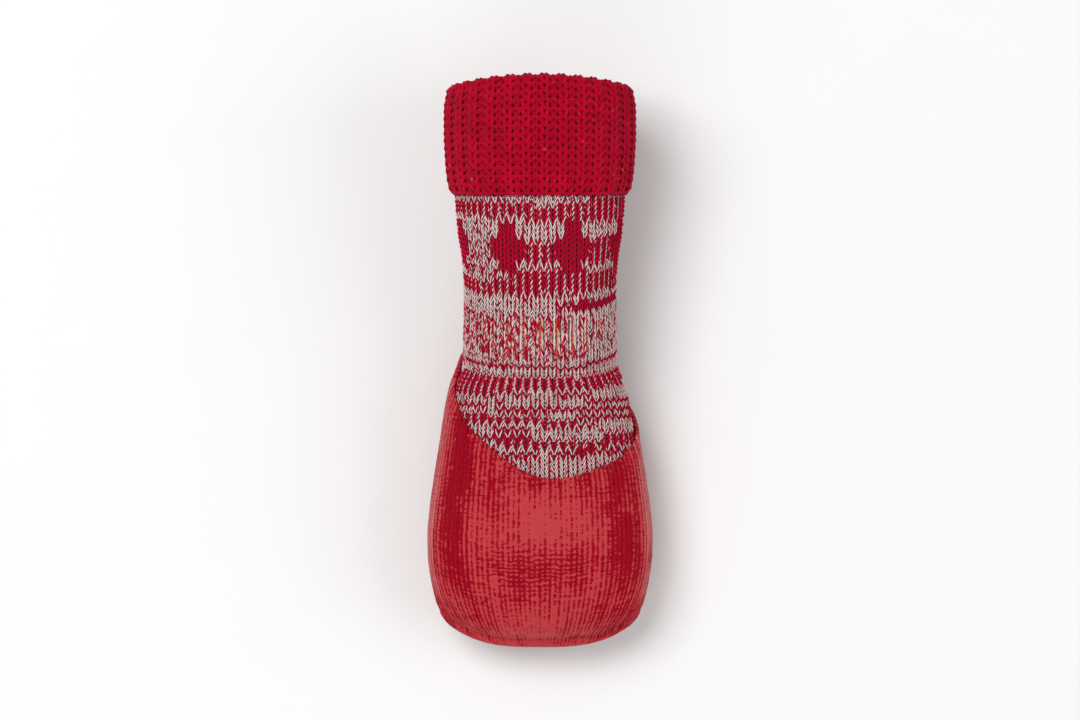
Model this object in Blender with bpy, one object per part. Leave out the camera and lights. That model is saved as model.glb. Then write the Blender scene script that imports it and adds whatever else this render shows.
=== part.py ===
"""Dog sock: a marl knit leg and foot, a ribbed cuff, and a foot dipped in rubber.

The sock rests on its sole with its leg leaning back. X runs across, the toe points to -Y and Z is up.
The origin is on the floor, in the middle of the sole. Lengths are in metres, angles in degrees.
"""

import math

import bmesh
import bpy
import numpy as np

MM = 0.001

# Driving sizes
FOOT_LENGTH = 87.0 * MM  # toe seam to the back of the heel, over the rubber
FOOT_WIDTH = 65.8 * MM  # ball of the foot, over the rubber
FOOT_HEIGHT = 35.0 * MM  # floor to the top of the ball, over the rubber
LEG_LENGTH = 49.5 * MM  # ankle to the cuff, along the leg
LEG_WIDTH = 44.0 * MM  # narrowest part of the leg
LEG_DEPTH = 42.0 * MM
LEG_LEAN = 18.0  # rise of the leg behind the ankle
CUFF_LEAN = 5.0  # rise of the cuff
CUFF_LENGTH = 34.5 * MM
CUFF_WIDTH = 54.8 * MM
CUFF_DEPTH = 38.0 * MM
KNIT_WALL = 1.8 * MM
RUBBER_WALL = 1.2 * MM
CUFF_WALL = 3.6 * MM
CUFF_FOOT = 0.3  # share of the cuff's length over which its wall thickens from the leg's
CUFF_SQUARENESS = 2.15  # of its section, where 2 is an oval
RIB_RISE = 0.5 * MM  # how far a rib of the cuff stands over the furrow beside it
TOE_BOW = 8.6 * MM  # how far the toe seam's middle lies ahead of its ends
TOE_CORNER = 3.1  # how suddenly the seam turns back at its ends: 2 is an even arc
COLLAR_BOW = 4.0 * MM  # how far the collar's middle lies behind its sides
SEAM_REACH = 2.0 * MM  # how far the toe seam's lip stands ahead of the toe
GAP = 0.3 * MM  # clearance between neighbouring pieces
SOLE_SHARE = 0.55  # where the origin lies between toe and heel

WALES = 56  # columns of stitches around the sock, which are also the columns of the mesh
COAT = GAP + RUBBER_WALL  # how far the rubber's outside stands over the knit
SLIT = 0.15 * MM  # least half height of a surface at the closed toe
TOE_CORNER_SHARE = 0.44  # where the toe seam ends, as a share of the width from the middle
ANKLE_SHARE = 0.947  # centre of the ankle section between toe and heel
TOE_CROWD = 1.6  # how much closer the sections lie at the toe than at the cuff
TOE_SETTLE = 0.34  # share of the foot in which the linings' later start at the toe is made up
BOW_SETTLE = 0.62  # share of the foot in which the toe's bow fades out
CREASE = 50.0  # edges sharper than this many degrees are shaded as edges

# Sections of the foot over the rubber. at: share of FOOT_LENGTH. width: share of FOOT_WIDTH. top and
# sole: heights as shares of FOOT_HEIGHT, where a negative sole is pressed flat by the floor. tilt:
# degrees that the section leans back. crown and tread: squareness of its upper and lower half.
FOOT_COLUMNS = ("at", "width", "top", "sole", "tilt", "crown", "tread")
FOOT = (
    (0.000, 0.800, 0.530, 0.470, 0.0, 2.0, 2.0),
    (0.010, 0.868, 0.540, 0.460, 0.0, 2.0, 2.0),
    (0.023, 0.892, 0.550, 0.450, 0.0, 2.0, 2.0),
    (0.034, 0.893, 0.640, 0.352, 0.0, 2.2, 2.2),
    (0.055, 0.917, 0.728, 0.245, 0.0, 2.4, 2.5),
    (0.090, 0.938, 0.806, 0.142, 0.0, 2.6, 2.7),
    (0.135, 0.960, 0.872, 0.068, 0.0, 2.6, 2.9),
    (0.190, 0.979, 0.930, 0.020, 0.0, 2.6, 3.1),
    (0.260, 0.994, 0.972, -0.008, 0.0, 2.5, 3.2),
    (0.340, 0.997, 0.996, -0.018, 0.0, 2.5, 3.2),
    (0.450, 0.978, 1.004, -0.018, 0.0, 2.4, 3.2),
    (0.565, 0.940, 1.020, -0.018, 0.0, 2.3, 3.1),
    (0.690, 0.887, 1.075, -0.018, 1.0, 2.2, 2.9),
    (0.800, 0.842, 1.155, -0.016, 4.0, 2.1, 2.7),
    (0.880, 0.795, 1.215, -0.012, 8.0, 2.1, 2.5),
    (0.947, 0.725, 1.270, 0.050, 13.0, 2.0, 2.3),
)

# Sections of the leg over the knit. at: share of LEG_LENGTH behind the ankle. width and depth: shares
# of LEG_WIDTH and LEG_DEPTH. lean: how far the leg has turned, from 0 for LEG_LEAN to 1 for CUFF_LEAN.
LEG_COLUMNS = ("at", "width", "depth", "lean")
LEG = (
    (0.140, 1.012, 1.010, 0.0),
    (0.300, 1.000, 1.000, 0.0),
    (0.480, 1.000, 0.990, 0.1),
    (0.640, 1.026, 0.960, 0.4),
    (0.800, 1.082, 0.915, 0.7),
    (1.000, 1.115, 0.870, 1.0),
)

# Sections of the cuff. at: share of CUFF_LENGTH. swell: how far it has widened, from 0 for the end of
# the leg to 1 for CUFF_WIDTH and CUFF_DEPTH.
CUFF_COLUMNS = ("at", "swell")
CUFF = (
    (0.000, 0.22),
    (0.060, 0.52),
    (0.160, 0.74),
    (0.320, 0.89),
    (0.550, 1.00),
    (0.800, 0.98),
    (0.930, 0.74),
)

# Where the rubber ends, going round from the top of the foot by its right side, as shares of
# FOOT_LENGTH in steps of an eighth of a turn.
RIM = (0.562, 0.605, 0.735, 0.885, 0.980, 0.985, 0.930, 0.710)

# Rings of the mesh, as shares of the way from the toe to the rubber's rim and from there to the cuff.
TOE_RINGS = (0.0, 0.030, 0.075, 0.135, 0.21, 0.31, 0.43, 0.56, 0.70, 0.85, 1.0)
LIP_RINGS = (0.0, 0.35, 0.8, 1.0)  # shares of SEAM_REACH
LEG_RINGS = (0.16, 0.32, 0.48, 0.64, 0.82, 1.0)
CUFF_RINGS = (0.0, 0.06, 0.17, 0.38, 0.62, 0.84, 0.95)

MARL_RED = (0.46, 0.10, 0.13, 1.0)
CUFF_RED = (0.40, 0.003, 0.022, 1.0)
RUBBER_RED = (0.50, 0.035, 0.045, 1.0)


def remove_everything():
    """Clears the scene of every object it holds."""
    for thing in list(bpy.data.objects):
        bpy.data.objects.remove(thing, do_unlink=True)


def smooth_through(at, known_at, known):
    """Values at the places given, on a smooth curve through known points that never overshoots them."""
    x, y = np.asarray(known_at, float), np.asarray(known, float)
    rise = np.diff(y) / np.diff(x)
    slope = np.zeros_like(y)
    same = rise[:-1] * rise[1:] > 0
    slope[1:-1][same] = 2 / (1 / rise[:-1][same] + 1 / rise[1:][same])
    slope[0], slope[-1] = rise[0], rise[-1]
    at = np.clip(at, x[0], x[-1])
    k = np.clip(np.searchsorted(x, at) - 1, 0, len(x) - 2)
    step = x[k + 1] - x[k]
    t = (at - x[k]) / step
    return (
        y[k] * (1 + 2 * t) * (1 - t) ** 2
        + slope[k] * step * t * (1 - t) ** 2
        + y[k + 1] * t * t * (3 - 2 * t)
        + slope[k + 1] * step * t * t * (t - 1)
    )


def columns(rows, names):
    """A table's columns by name."""
    return dict(zip(names, np.array(rows, float).T, strict=True))


def leg_walk(along):
    """Centre (y, z) and lean of the sock at distances behind the ankle, cuff included."""
    foot, leg = columns(FOOT, FOOT_COLUMNS), columns(LEG, LEG_COLUMNS)
    fine = np.linspace(0, LEG_LENGTH + CUFF_LENGTH + CUFF_WALL, 400)
    turned = smooth_through(fine, leg["at"] * LEG_LENGTH, leg["lean"])
    lean = np.radians(LEG_LEAN + (CUFF_LEAN - LEG_LEAN) * turned)
    step = np.diff(fine, prepend=0.0)
    ankle_y = (ANKLE_SHARE - SOLE_SHARE) * FOOT_LENGTH
    ankle_z = (foot["top"][-1] + foot["sole"][-1]) / 2 * FOOT_HEIGHT
    y = ankle_y + np.cumsum(np.cos(lean) * step)
    z = ankle_z + np.cumsum(np.sin(lean) * step)
    return np.interp(along, fine, y), np.interp(along, fine, z), np.interp(along, fine, lean)


def knit_sections(at):
    """The knit's outside at distances behind the toe: centre, tilt, half sizes and squareness."""
    foot, leg = columns(FOOT, FOOT_COLUMNS), columns(LEG, LEG_COLUMNS)
    ankle = ANKLE_SHARE * FOOT_LENGTH
    y, z, lean = leg_walk(leg["at"] * LEG_LENGTH)
    round_leg = np.full(len(LEG), 2.0)
    rows = {
        "at": (foot["at"] * FOOT_LENGTH, ankle + leg["at"] * LEG_LENGTH),
        "y": ((foot["at"] - SOLE_SHARE) * FOOT_LENGTH, y),
        "z": ((foot["top"] + foot["sole"]) / 2 * FOOT_HEIGHT, z),
        "tilt": (np.radians(foot["tilt"]), lean),
        "width": (foot["width"] * FOOT_WIDTH / 2 - COAT, leg["width"] * LEG_WIDTH / 2),
        "height": ((foot["top"] - foot["sole"]) / 2 * FOOT_HEIGHT - COAT, leg["depth"] * LEG_DEPTH / 2),
        "crown": (foot["crown"], round_leg),
        "tread": (foot["tread"], round_leg),
    }
    known = {name: np.concatenate(parts) for name, parts in rows.items()}
    return {name: smooth_through(at, known["at"], known[name]) for name in known if name != "at"}


def leg_end():
    """The knit's section where the cuff meets it."""
    return knit_sections(np.array([ANKLE_SHARE * FOOT_LENGTH + LEG_LENGTH]))


def cuff_sections(at):
    """The cuff's outside at distances above its lower edge, in the same terms as knit_sections."""
    cuff = columns(CUFF, CUFF_COLUMNS)
    y, z, lean = leg_walk(LEG_LENGTH + at)
    swell = smooth_through(at, cuff["at"] * CUFF_LENGTH, cuff["swell"])
    end = leg_end()
    return {
        "y": y,
        "z": z,
        "tilt": lean,
        "width": end["width"] + (CUFF_WIDTH / 2 - end["width"]) * swell,
        "height": end["height"] + (CUFF_DEPTH / 2 - end["height"]) * swell,
        "crown": np.full(len(at), CUFF_SQUARENESS),
        "tread": np.full(len(at), CUFF_SQUARENESS),
    }


def outline(half_width, half_height, crown, tread):
    """WALES points (across, up) evenly spaced round a section, from its top by its right side."""
    angle = np.linspace(0, 2 * math.pi, 721)
    across, up = np.sin(angle), np.cos(angle)
    power = 2 / np.where(up >= 0, crown, tread)
    x = half_width * np.sign(across) * np.abs(across) ** power
    z = half_height * np.sign(up) * np.abs(up) ** power
    length = np.concatenate(([0], np.cumsum(np.hypot(np.diff(x), np.diff(z)))))
    even = np.linspace(0, length[-1], WALES, endpoint=False)
    return np.interp(even, length, x), np.interp(even, length, z)


def place(sections, grow):
    """Rings of points round sections that are grown by a distance, kept above the floor."""
    rings = []
    for k in range(len(sections["y"])):
        size = {name: values[k] for name, values in sections.items()}
        x, up = outline(
            size["width"] + grow, max(size["height"] + grow, SLIT), size["crown"], size["tread"]
        )
        y = size["y"] - up * math.sin(size["tilt"])
        z = size["z"] + up * math.cos(size["tilt"])
        rings.append(np.stack([x, y, np.maximum(z, COAT - grow)], axis=1))
    return np.array(rings)


def knit_surface(grow, fine=240):
    """The knit's outside grown by a distance: (distances behind the toe, rings of points there).

    Only the rubber's outside has the toe seam's lip. The others start behind it, by their depth.
    """
    length = ANKLE_SHARE * FOOT_LENGTH + LEG_LENGTH
    settled = TOE_SETTLE * FOOT_LENGTH
    shape_start = 0.0 if grow >= COAT else SEAM_REACH
    start = shape_start + COAT - grow
    shape_at = shape_start + (length - shape_start) * np.linspace(0, 1, fine) ** TOE_CROWD
    late = np.clip(1 - (shape_at - shape_start) / (settled - shape_start), 0, 1)
    sections = knit_sections(shape_at)
    sections["y"] = sections["y"] + (start - shape_start) * late
    rings = place(sections, grow)
    bow = TOE_BOW * np.clip(1 - shape_at / (BOW_SETTLE * FOOT_LENGTH), 0, 1) ** 2
    across = np.abs(rings[:, :, 0]) / (TOE_CORNER_SHARE * FOOT_WIDTH)
    rings[:, :, 1] += bow[:, None] * across**TOE_CORNER
    return shape_at, rings


def ring_on(surface, at):
    """One ring on a surface, where each column has its own distance behind the toe."""
    known, rings = surface
    ring = np.empty((WALES, 3))
    for column in range(WALES):
        for axis in range(3):
            ring[column, axis] = np.interp(at[column], known, rings[:, column, axis])
    return ring


def rim_line():
    """How far behind the toe the rubber ends at each column."""
    turn = np.arange(WALES) / WALES * len(RIM)
    points = np.array(RIM) * FOOT_LENGTH
    k = np.floor(turn).astype(int)
    t = turn - k
    before, near, far, after = (points[(k + j) % len(RIM)] for j in (-1, 0, 1, 2))
    return near + 0.5 * t * (far - before + t * (2 * before - 5 * near + 4 * far - after
                                                 + t * (3 * (near - far) + after - before)))


def foot_rings(grow):
    """Rings from the closed toe to the rubber's rim on the surface that stands grow over the knit."""
    surface = knit_surface(grow)
    start = surface[0][0]
    rim = rim_line()
    rings = []
    if grow >= COAT:
        rings = [ring_on(surface, np.full(WALES, share * SEAM_REACH)) for share in LIP_RINGS]
        start = SEAM_REACH
    first = 1 if grow >= COAT else 0
    rings += [ring_on(surface, start + (rim - start) * share) for share in TOE_RINGS[first:]]
    return rings


def leg_rings(grow):
    """Rings from the rubber's rim to the cuff."""
    surface = knit_surface(grow)
    rim = rim_line()
    end = ANKLE_SHARE * FOOT_LENGTH + LEG_LENGTH
    return [ring_on(surface, rim + (end - rim) * share) for share in LEG_RINGS]


def join_rings(mesh, lower, upper):
    """Faces between two rings of vertices."""
    for k in range(len(lower)):
        after = (k + 1) % len(lower)
        mesh.faces.new((lower[k], lower[after], upper[after], upper[k]))


def close_slit(mesh, ring):
    """Closes a flat ring by joining each point of its top to the one below it."""
    half, quarter = len(ring) // 2, len(ring) // 4
    for k in range(-quarter, quarter):
        corners = [ring[k], ring[k + 1], ring[half - k - 1], ring[(half - k) % len(ring)]]
        mesh.faces.new(list(dict.fromkeys(corners)))


def make_solid(name, rings, colour, roughness, endless=False):
    """A closed solid lofted through rings, which run back to the first or are closed at both ends."""
    mesh = bmesh.new()
    made = [[mesh.verts.new(point) for point in ring] for ring in rings]
    for lower, upper in zip(made, made[1:]):
        join_rings(mesh, lower, upper)
    if endless:
        join_rings(mesh, made[-1], made[0])
    else:
        close_slit(mesh, made[0])
        close_slit(mesh, made[-1])
    bmesh.ops.recalc_face_normals(mesh, faces=mesh.faces)
    bmesh.ops.triangulate(mesh, faces=mesh.faces)
    data = bpy.data.meshes.new(name)
    mesh.to_mesh(data)
    mesh.free()
    data.shade_smooth()
    data.set_sharp_from_angle(angle=math.radians(CREASE))
    thing = bpy.data.objects.new(name, data)
    bpy.context.scene.collection.objects.link(thing)
    data.materials.append(make_finish(name, colour, roughness))
    return thing


def make_finish(name, colour, roughness):
    """A plain finish of one colour."""
    finish = bpy.data.materials.new(name)
    finish.use_nodes = True
    shader = finish.node_tree.nodes["Principled BSDF"]
    shader.inputs["Base Color"].default_value = colour
    shader.inputs["Roughness"].default_value = roughness
    shader.inputs["Metallic"].default_value = 0.0
    return finish


def make_knit():
    """The knitted sock: leg and foot in one wall, open at the cuff and closed at the toe."""
    outside = foot_rings(0.0) + leg_rings(0.0)
    inside = foot_rings(-KNIT_WALL) + leg_rings(-KNIT_WALL)
    return make_solid("knit_upper", outside + inside[::-1], MARL_RED, 0.9)


def make_rubber():
    """The dipped rubber: a shell over sole, sides and toe, with a rounded rim and the toe seam's lip."""
    outside = foot_rings(COAT)
    inside = foot_rings(GAP)
    middle = knit_surface(GAP + RUBBER_WALL / 2)
    rim = ring_on(middle, rim_line() + RUBBER_WALL / 2)
    return make_solid("rubber_sole", outside + [rim] + inside[::-1], RUBBER_RED, 0.45)


def ribbed(ring, rise):
    """A ring with each second column moved outwards, away from the ring's middle, by a distance."""
    middle = ring.mean(axis=0)
    outwards = ring - middle
    outwards /= np.linalg.norm(outwards, axis=1)[:, None]
    lift = np.where(np.arange(len(ring)) % 2 == 0, rise, 0.0)
    return ring + outwards * lift[:, None]


def make_cuff():
    """The ribbed cuff: a thick band with a rounded top edge, meeting the leg at its lower edge."""
    straight = CUFF_LENGTH - CUFF_WALL / 2
    at = np.array(CUFF_RINGS) * straight + GAP
    sections = cuff_sections(at)
    outer = [ribbed(ring, RIB_RISE) for ring in place(sections, -RIB_RISE)]
    hollow = {name: values.copy() for name, values in sections.items()}
    fold = cuff_sections(np.array([CUFF_LENGTH]))
    end = leg_end()
    thickening = smooth_through(at, [0, CUFF_FOOT * CUFF_LENGTH, CUFF_LENGTH], [0, 1, 1])
    for name in ("width", "height"):
        snug = end[name] - KNIT_WALL
        hollow[name] = snug + (sections[name] - CUFF_WALL - snug) * thickening
        fold[name] = sections[name][-1:] - CUFF_WALL / 2
    inner = list(place(hollow, 0.0))
    rings = outer + [place(fold, 0.0)[0]] + inner[::-1]
    foot_y = leg_walk(LEG_LENGTH)[0]
    for ring in rings:
        risen = np.clip((ring[:, 1] - foot_y) / CUFF_LENGTH, 0, 1)
        ring[:, 1] -= COLLAR_BOW * risen**2 * (2 * ring[:, 0] / CUFF_WIDTH) ** 2
    return make_solid("rib_cuff", rings, CUFF_RED, 0.92, endless=True)


def main():
    """Builds the three pieces of the sock."""
    remove_everything()
    make_knit()
    make_rubber()
    make_cuff()


main()
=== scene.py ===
"""Dog sock: the looks of a marl knit leg, a ribbed cuff and a foot dipped in rubber.

X runs across the sock, the toe points to -Y and Z is up. The floor is at Z = 0. Lengths are in metres.
Places on the sock are given by two numbers. One is the distance behind the toe, along the foot and then
along the leg. The other is the turn round the section, from 0 at the top by the right side back to 1.
"""

from __future__ import annotations

import logging
import math
from collections.abc import Iterable
from dataclasses import dataclass, field
from enum import Enum
from typing import NamedTuple

import bpy
import numpy as np
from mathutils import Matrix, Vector
from numpy.typing import NDArray

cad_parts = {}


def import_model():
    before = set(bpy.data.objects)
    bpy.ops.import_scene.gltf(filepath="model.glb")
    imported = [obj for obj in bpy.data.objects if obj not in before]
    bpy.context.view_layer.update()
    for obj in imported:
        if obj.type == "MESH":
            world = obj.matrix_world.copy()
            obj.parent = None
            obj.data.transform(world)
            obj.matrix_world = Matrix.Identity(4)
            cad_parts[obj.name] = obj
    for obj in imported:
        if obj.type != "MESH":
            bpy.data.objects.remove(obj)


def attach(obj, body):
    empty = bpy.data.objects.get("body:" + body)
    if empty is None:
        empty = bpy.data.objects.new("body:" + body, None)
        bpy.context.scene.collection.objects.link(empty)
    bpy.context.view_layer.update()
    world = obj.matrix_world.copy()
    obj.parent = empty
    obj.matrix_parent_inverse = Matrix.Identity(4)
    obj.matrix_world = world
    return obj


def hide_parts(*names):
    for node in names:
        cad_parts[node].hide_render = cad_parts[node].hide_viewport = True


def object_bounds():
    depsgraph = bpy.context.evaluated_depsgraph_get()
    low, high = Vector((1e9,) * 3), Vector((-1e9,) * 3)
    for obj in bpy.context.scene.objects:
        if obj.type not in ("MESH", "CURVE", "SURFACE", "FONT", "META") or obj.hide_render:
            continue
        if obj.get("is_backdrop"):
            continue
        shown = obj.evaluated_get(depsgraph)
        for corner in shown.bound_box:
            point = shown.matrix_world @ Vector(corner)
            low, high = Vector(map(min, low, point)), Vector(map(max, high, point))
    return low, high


Array = NDArray[np.float64]
Numbers = NDArray[np.int64]
Flags = NDArray[np.bool_]
Colour = tuple[float, float, float]
Socket = bpy.types.NodeSocket
MaterialData = bpy.types.Material

MM = 0.001
TAU = 2 * math.pi
ROOT = "root"
YARN_SIDES = 6
LOG = logging.getLogger("dog_sock")


def smooth_through(at: Array, known_at: Array, known: Array) -> Array:
    """Reads a smooth curve through known points.

    Between two points the curve is the cubic with harmonic-mean slopes, which never overshoots them.

    Args:
        at: places to read.
        known_at: rising places of the known points.
        known: their values.

    Returns:
        The curve's values at the places.
    """
    rise = np.diff(known) / np.diff(known_at)
    slope = np.zeros_like(known)
    same = rise[:-1] * rise[1:] > 0
    slope[1:-1][same] = 2 / (1 / rise[:-1][same] + 1 / rise[1:][same])
    slope[0], slope[-1] = rise[0], rise[-1]
    at = np.clip(at, known_at[0], known_at[-1])
    k = np.clip(np.searchsorted(known_at, at) - 1, 0, len(known_at) - 2)
    step = known_at[k + 1] - known_at[k]
    t = (at - known_at[k]) / step
    return (
        known[k] * (1 + 2 * t) * (1 - t) ** 2
        + slope[k] * step * t * (1 - t) ** 2
        + known[k + 1] * t * t * (3 - 2 * t)
        + slope[k + 1] * step * t * t * (t - 1)
    )


def smooth_step(value: Array, low: float, high: float) -> Array:
    """Eases from 0 at low to 1 at high, which may lie below low: 3t² - 2t³ of the share t of the way."""
    t = np.clip((value - low) / (high - low), 0.0, 1.0)
    return t * t * (3 - 2 * t)


def bump_at(value: Array, centre: float, width: float) -> Array:
    """A bell of height 1: e to the minus square of the distance to its centre in widths."""
    return np.exp(-(((value - centre) / width) ** 2))


def signed(turn: Array) -> Array:
    """Turns between -0.5 and 0.5, for turns between 0 and 1."""
    return np.where(turn > 0.5, turn - 1, turn)


def unit(vectors: Array) -> Array:
    """Vectors of length 1 along the given ones."""
    return vectors / np.maximum(np.linalg.norm(vectors, axis=-1, keepdims=True), 1e-12)


def soft_noise(rng: np.random.Generator, shape: tuple[int, int], cells: tuple[int, int]) -> Array:
    """Smooth noise that closes round its second axis.

    Random values on a coarse grid are blended by the product of two eased steps.

    Args:
        rng: the seeded source of random values.
        shape: rows and columns wanted.
        cells: coarse cells along the rows and round the columns.

    Returns:
        Values between -1 and 1.
    """
    coarse = rng.uniform(-1, 1, (cells[0] + 1, cells[1]))
    row = np.linspace(0, cells[0], shape[0], endpoint=False)
    column = np.linspace(0, cells[1], shape[1], endpoint=False)
    i, j = np.floor(row).astype(int), np.floor(column).astype(int)
    a = smooth_step(row - i, 0, 1)[:, None]
    b = smooth_step(column - j, 0, 1)[None, :]
    i, j, after = i[:, None], j[None, :], (j + 1)[None, :] % cells[1]
    near = coarse[i, j] * (1 - b) + coarse[i, after] * b
    far = coarse[i + 1, j] * (1 - b) + coarse[i + 1, after] * b
    return near * (1 - a) + far * a


def scaled(colour: Colour, share: float) -> Colour:
    """A colour times a share, where no channel passes 1."""
    return tuple(min(1.0, share * channel) for channel in colour)


class Material:
    """A node-based material with one Principled shader."""

    def __init__(self, name: str) -> None:
        """Starts a material whose shader has no colour yet."""
        self.data = bpy.data.materials.new(name)
        self.data.use_nodes = True
        self.nodes = self.data.node_tree.nodes
        self.shader = self.nodes["Principled BSDF"]

    def add(self, kind: str, **settings: object) -> bpy.types.Node:
        """Adds a node and sets its properties."""
        node = self.nodes.new(kind)
        for name, value in settings.items():
            setattr(node, name, value)
        return node

    def put(self, node: bpy.types.Node, **values: object) -> bpy.types.Node:
        """Sets inputs by name, where an underscore stands for a space."""
        for name, value in values.items():
            node.inputs[name.replace("_", " ")].default_value = value
        return node

    def link(self, source: Socket, target: Socket) -> None:
        """Links two sockets."""
        self.data.node_tree.links.new(source, target)

    def place(self) -> Socket:
        """Where a point lies on the sock, in metres."""
        return self.add("ShaderNodeTexCoord").outputs["Object"]

    def map_place(self, name: str) -> tuple[Socket, Socket]:
        """The two numbers of one of the mesh's maps."""
        parts = self.add("ShaderNodeSeparateXYZ")
        self.link(self.add("ShaderNodeUVMap", uv_map=name).outputs["UV"], parts.inputs[0])
        return parts.outputs[0], parts.outputs[1]

    def attribute(self, name: str) -> Socket:
        """A number stored on the mesh's points."""
        return self.add("ShaderNodeAttribute", attribute_name=name).outputs["Fac"]

    def noise(self, vector: Socket, scale: float, detail: float = 2.0) -> Socket:
        """Noise between 0 and 1 at a scale in cells to the unit of the vector."""
        node = self.put(self.add("ShaderNodeTexNoise"), Scale=scale, Detail=detail)
        self.link(vector, node.inputs["Vector"])
        return node.outputs["Fac"]

    def math(self, operation: str, *values: float | Socket) -> Socket:
        """An operation on numbers and sockets.

        Args:
            operation: the Math node's name for it.
            values: what it works on, in order.

        Returns:
            The result.
        """
        node = self.add("ShaderNodeMath", operation=operation)
        for socket, value in zip(node.inputs, values):
            if isinstance(value, (int, float)):
                socket.default_value = value
            else:
                self.link(value, socket)
        return node.outputs[0]

    def total(self, first: Socket, *others: float | Socket) -> Socket:
        """A sum."""
        for other in others:
            first = self.math("ADD", first, other)
        return first

    def times(self, value: Socket, factor: float | Socket) -> Socket:
        """A product."""
        return self.math("MULTIPLY", value, factor)

    def swing(self, value: Socket, spread: float) -> Socket:
        """Makes a number between 0 and 1 swing round 0: spread times (value - 1/2)."""
        return self.math("MULTIPLY_ADD", value, spread, -spread / 2)

    def groove(self, wave: Socket, power: float, side: float = 1.0) -> Socket:
        """A narrow line where a wave is at its top, or at its foot: ((1 ± wave) / 2) to a power."""
        return self.math("POWER", self.math("MULTIPLY_ADD", wave, side / 2, 0.5), power)

    def smooth(self, value: Socket, low: float, high: float) -> Socket:
        """Eases from 0 at low to 1 at high."""
        node = self.add("ShaderNodeMapRange", interpolation_type="SMOOTHSTEP")
        self.put(node, From_Min=low, From_Max=high)
        self.link(value, node.inputs["Value"])
        return node.outputs[0]

    def pair(self, first: Socket, first_scale: float, second: Socket, second_scale: float) -> Socket:
        """A vector of two scaled numbers."""
        node = self.add("ShaderNodeCombineXYZ")
        self.link(self.times(first, first_scale), node.inputs[0])
        self.link(self.times(second, second_scale), node.inputs[1])
        return node.outputs[0]

    def ramp(self, value: Socket, stops: dict[float, Colour]) -> Socket:
        """Colours along a number.

        Args:
            value: the number.
            stops: colours at places between 0 and 1, blended straight between them.

        Returns:
            The colour at the number.
        """
        node = self.add("ShaderNodeValToRGB")
        elements = node.color_ramp.elements
        while len(elements) < len(stops):
            elements.new(0.5)
        for element, (place, colour) in zip(elements, sorted(stops.items())):
            element.position = place
            element.color = (*colour, 1.0)
        self.link(value, node.inputs["Fac"])
        return node.outputs["Color"]

    def mix(self, factor: Socket, first: Socket, second: Socket | Colour) -> Socket:
        """Two colours mixed.

        Args:
            factor: the second one's share.
            first: the first colour.
            second: the second colour.

        Returns:
            The mixed colour.
        """
        node = self.add("ShaderNodeMix", data_type="RGBA")
        fraction, first_colour, second_colour = (node.inputs[k] for k in (0, 6, 7))
        self.link(factor, fraction)
        self.link(first, first_colour)
        if isinstance(second, tuple):
            second_colour.default_value = (*second, 1.0)
        else:
            self.link(second, second_colour)
        return node.outputs[2]

    def darken(self, colour: Socket, share: Socket) -> Socket:
        """A colour scaled by a share."""
        node = self.add("ShaderNodeVectorMath", operation="SCALE")
        self.link(colour, node.inputs[0])
        self.link(share, node.inputs["Scale"])
        return node.outputs[0]

    def finish(self, colour: Socket, height: Socket | None, depth: float, **values: object) -> MaterialData:
        """Gives the shader its colour, its bump and its constants.

        Args:
            colour: the base colour.
            height: what the bump follows, if there is one.
            depth: the bump's depth in metres.
            values: the shader's constants, by name.

        Returns:
            The material.
        """
        self.link(colour, self.shader.inputs["Base Color"])
        if height is not None:
            node = self.put(self.add("ShaderNodeBump"), Strength=1.0, Distance=depth)
            self.link(height, node.inputs["Height"])
            self.link(node.outputs["Normal"], self.shader.inputs["Normal"])
        self.put(self.shader, **values)
        return self.data


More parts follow.
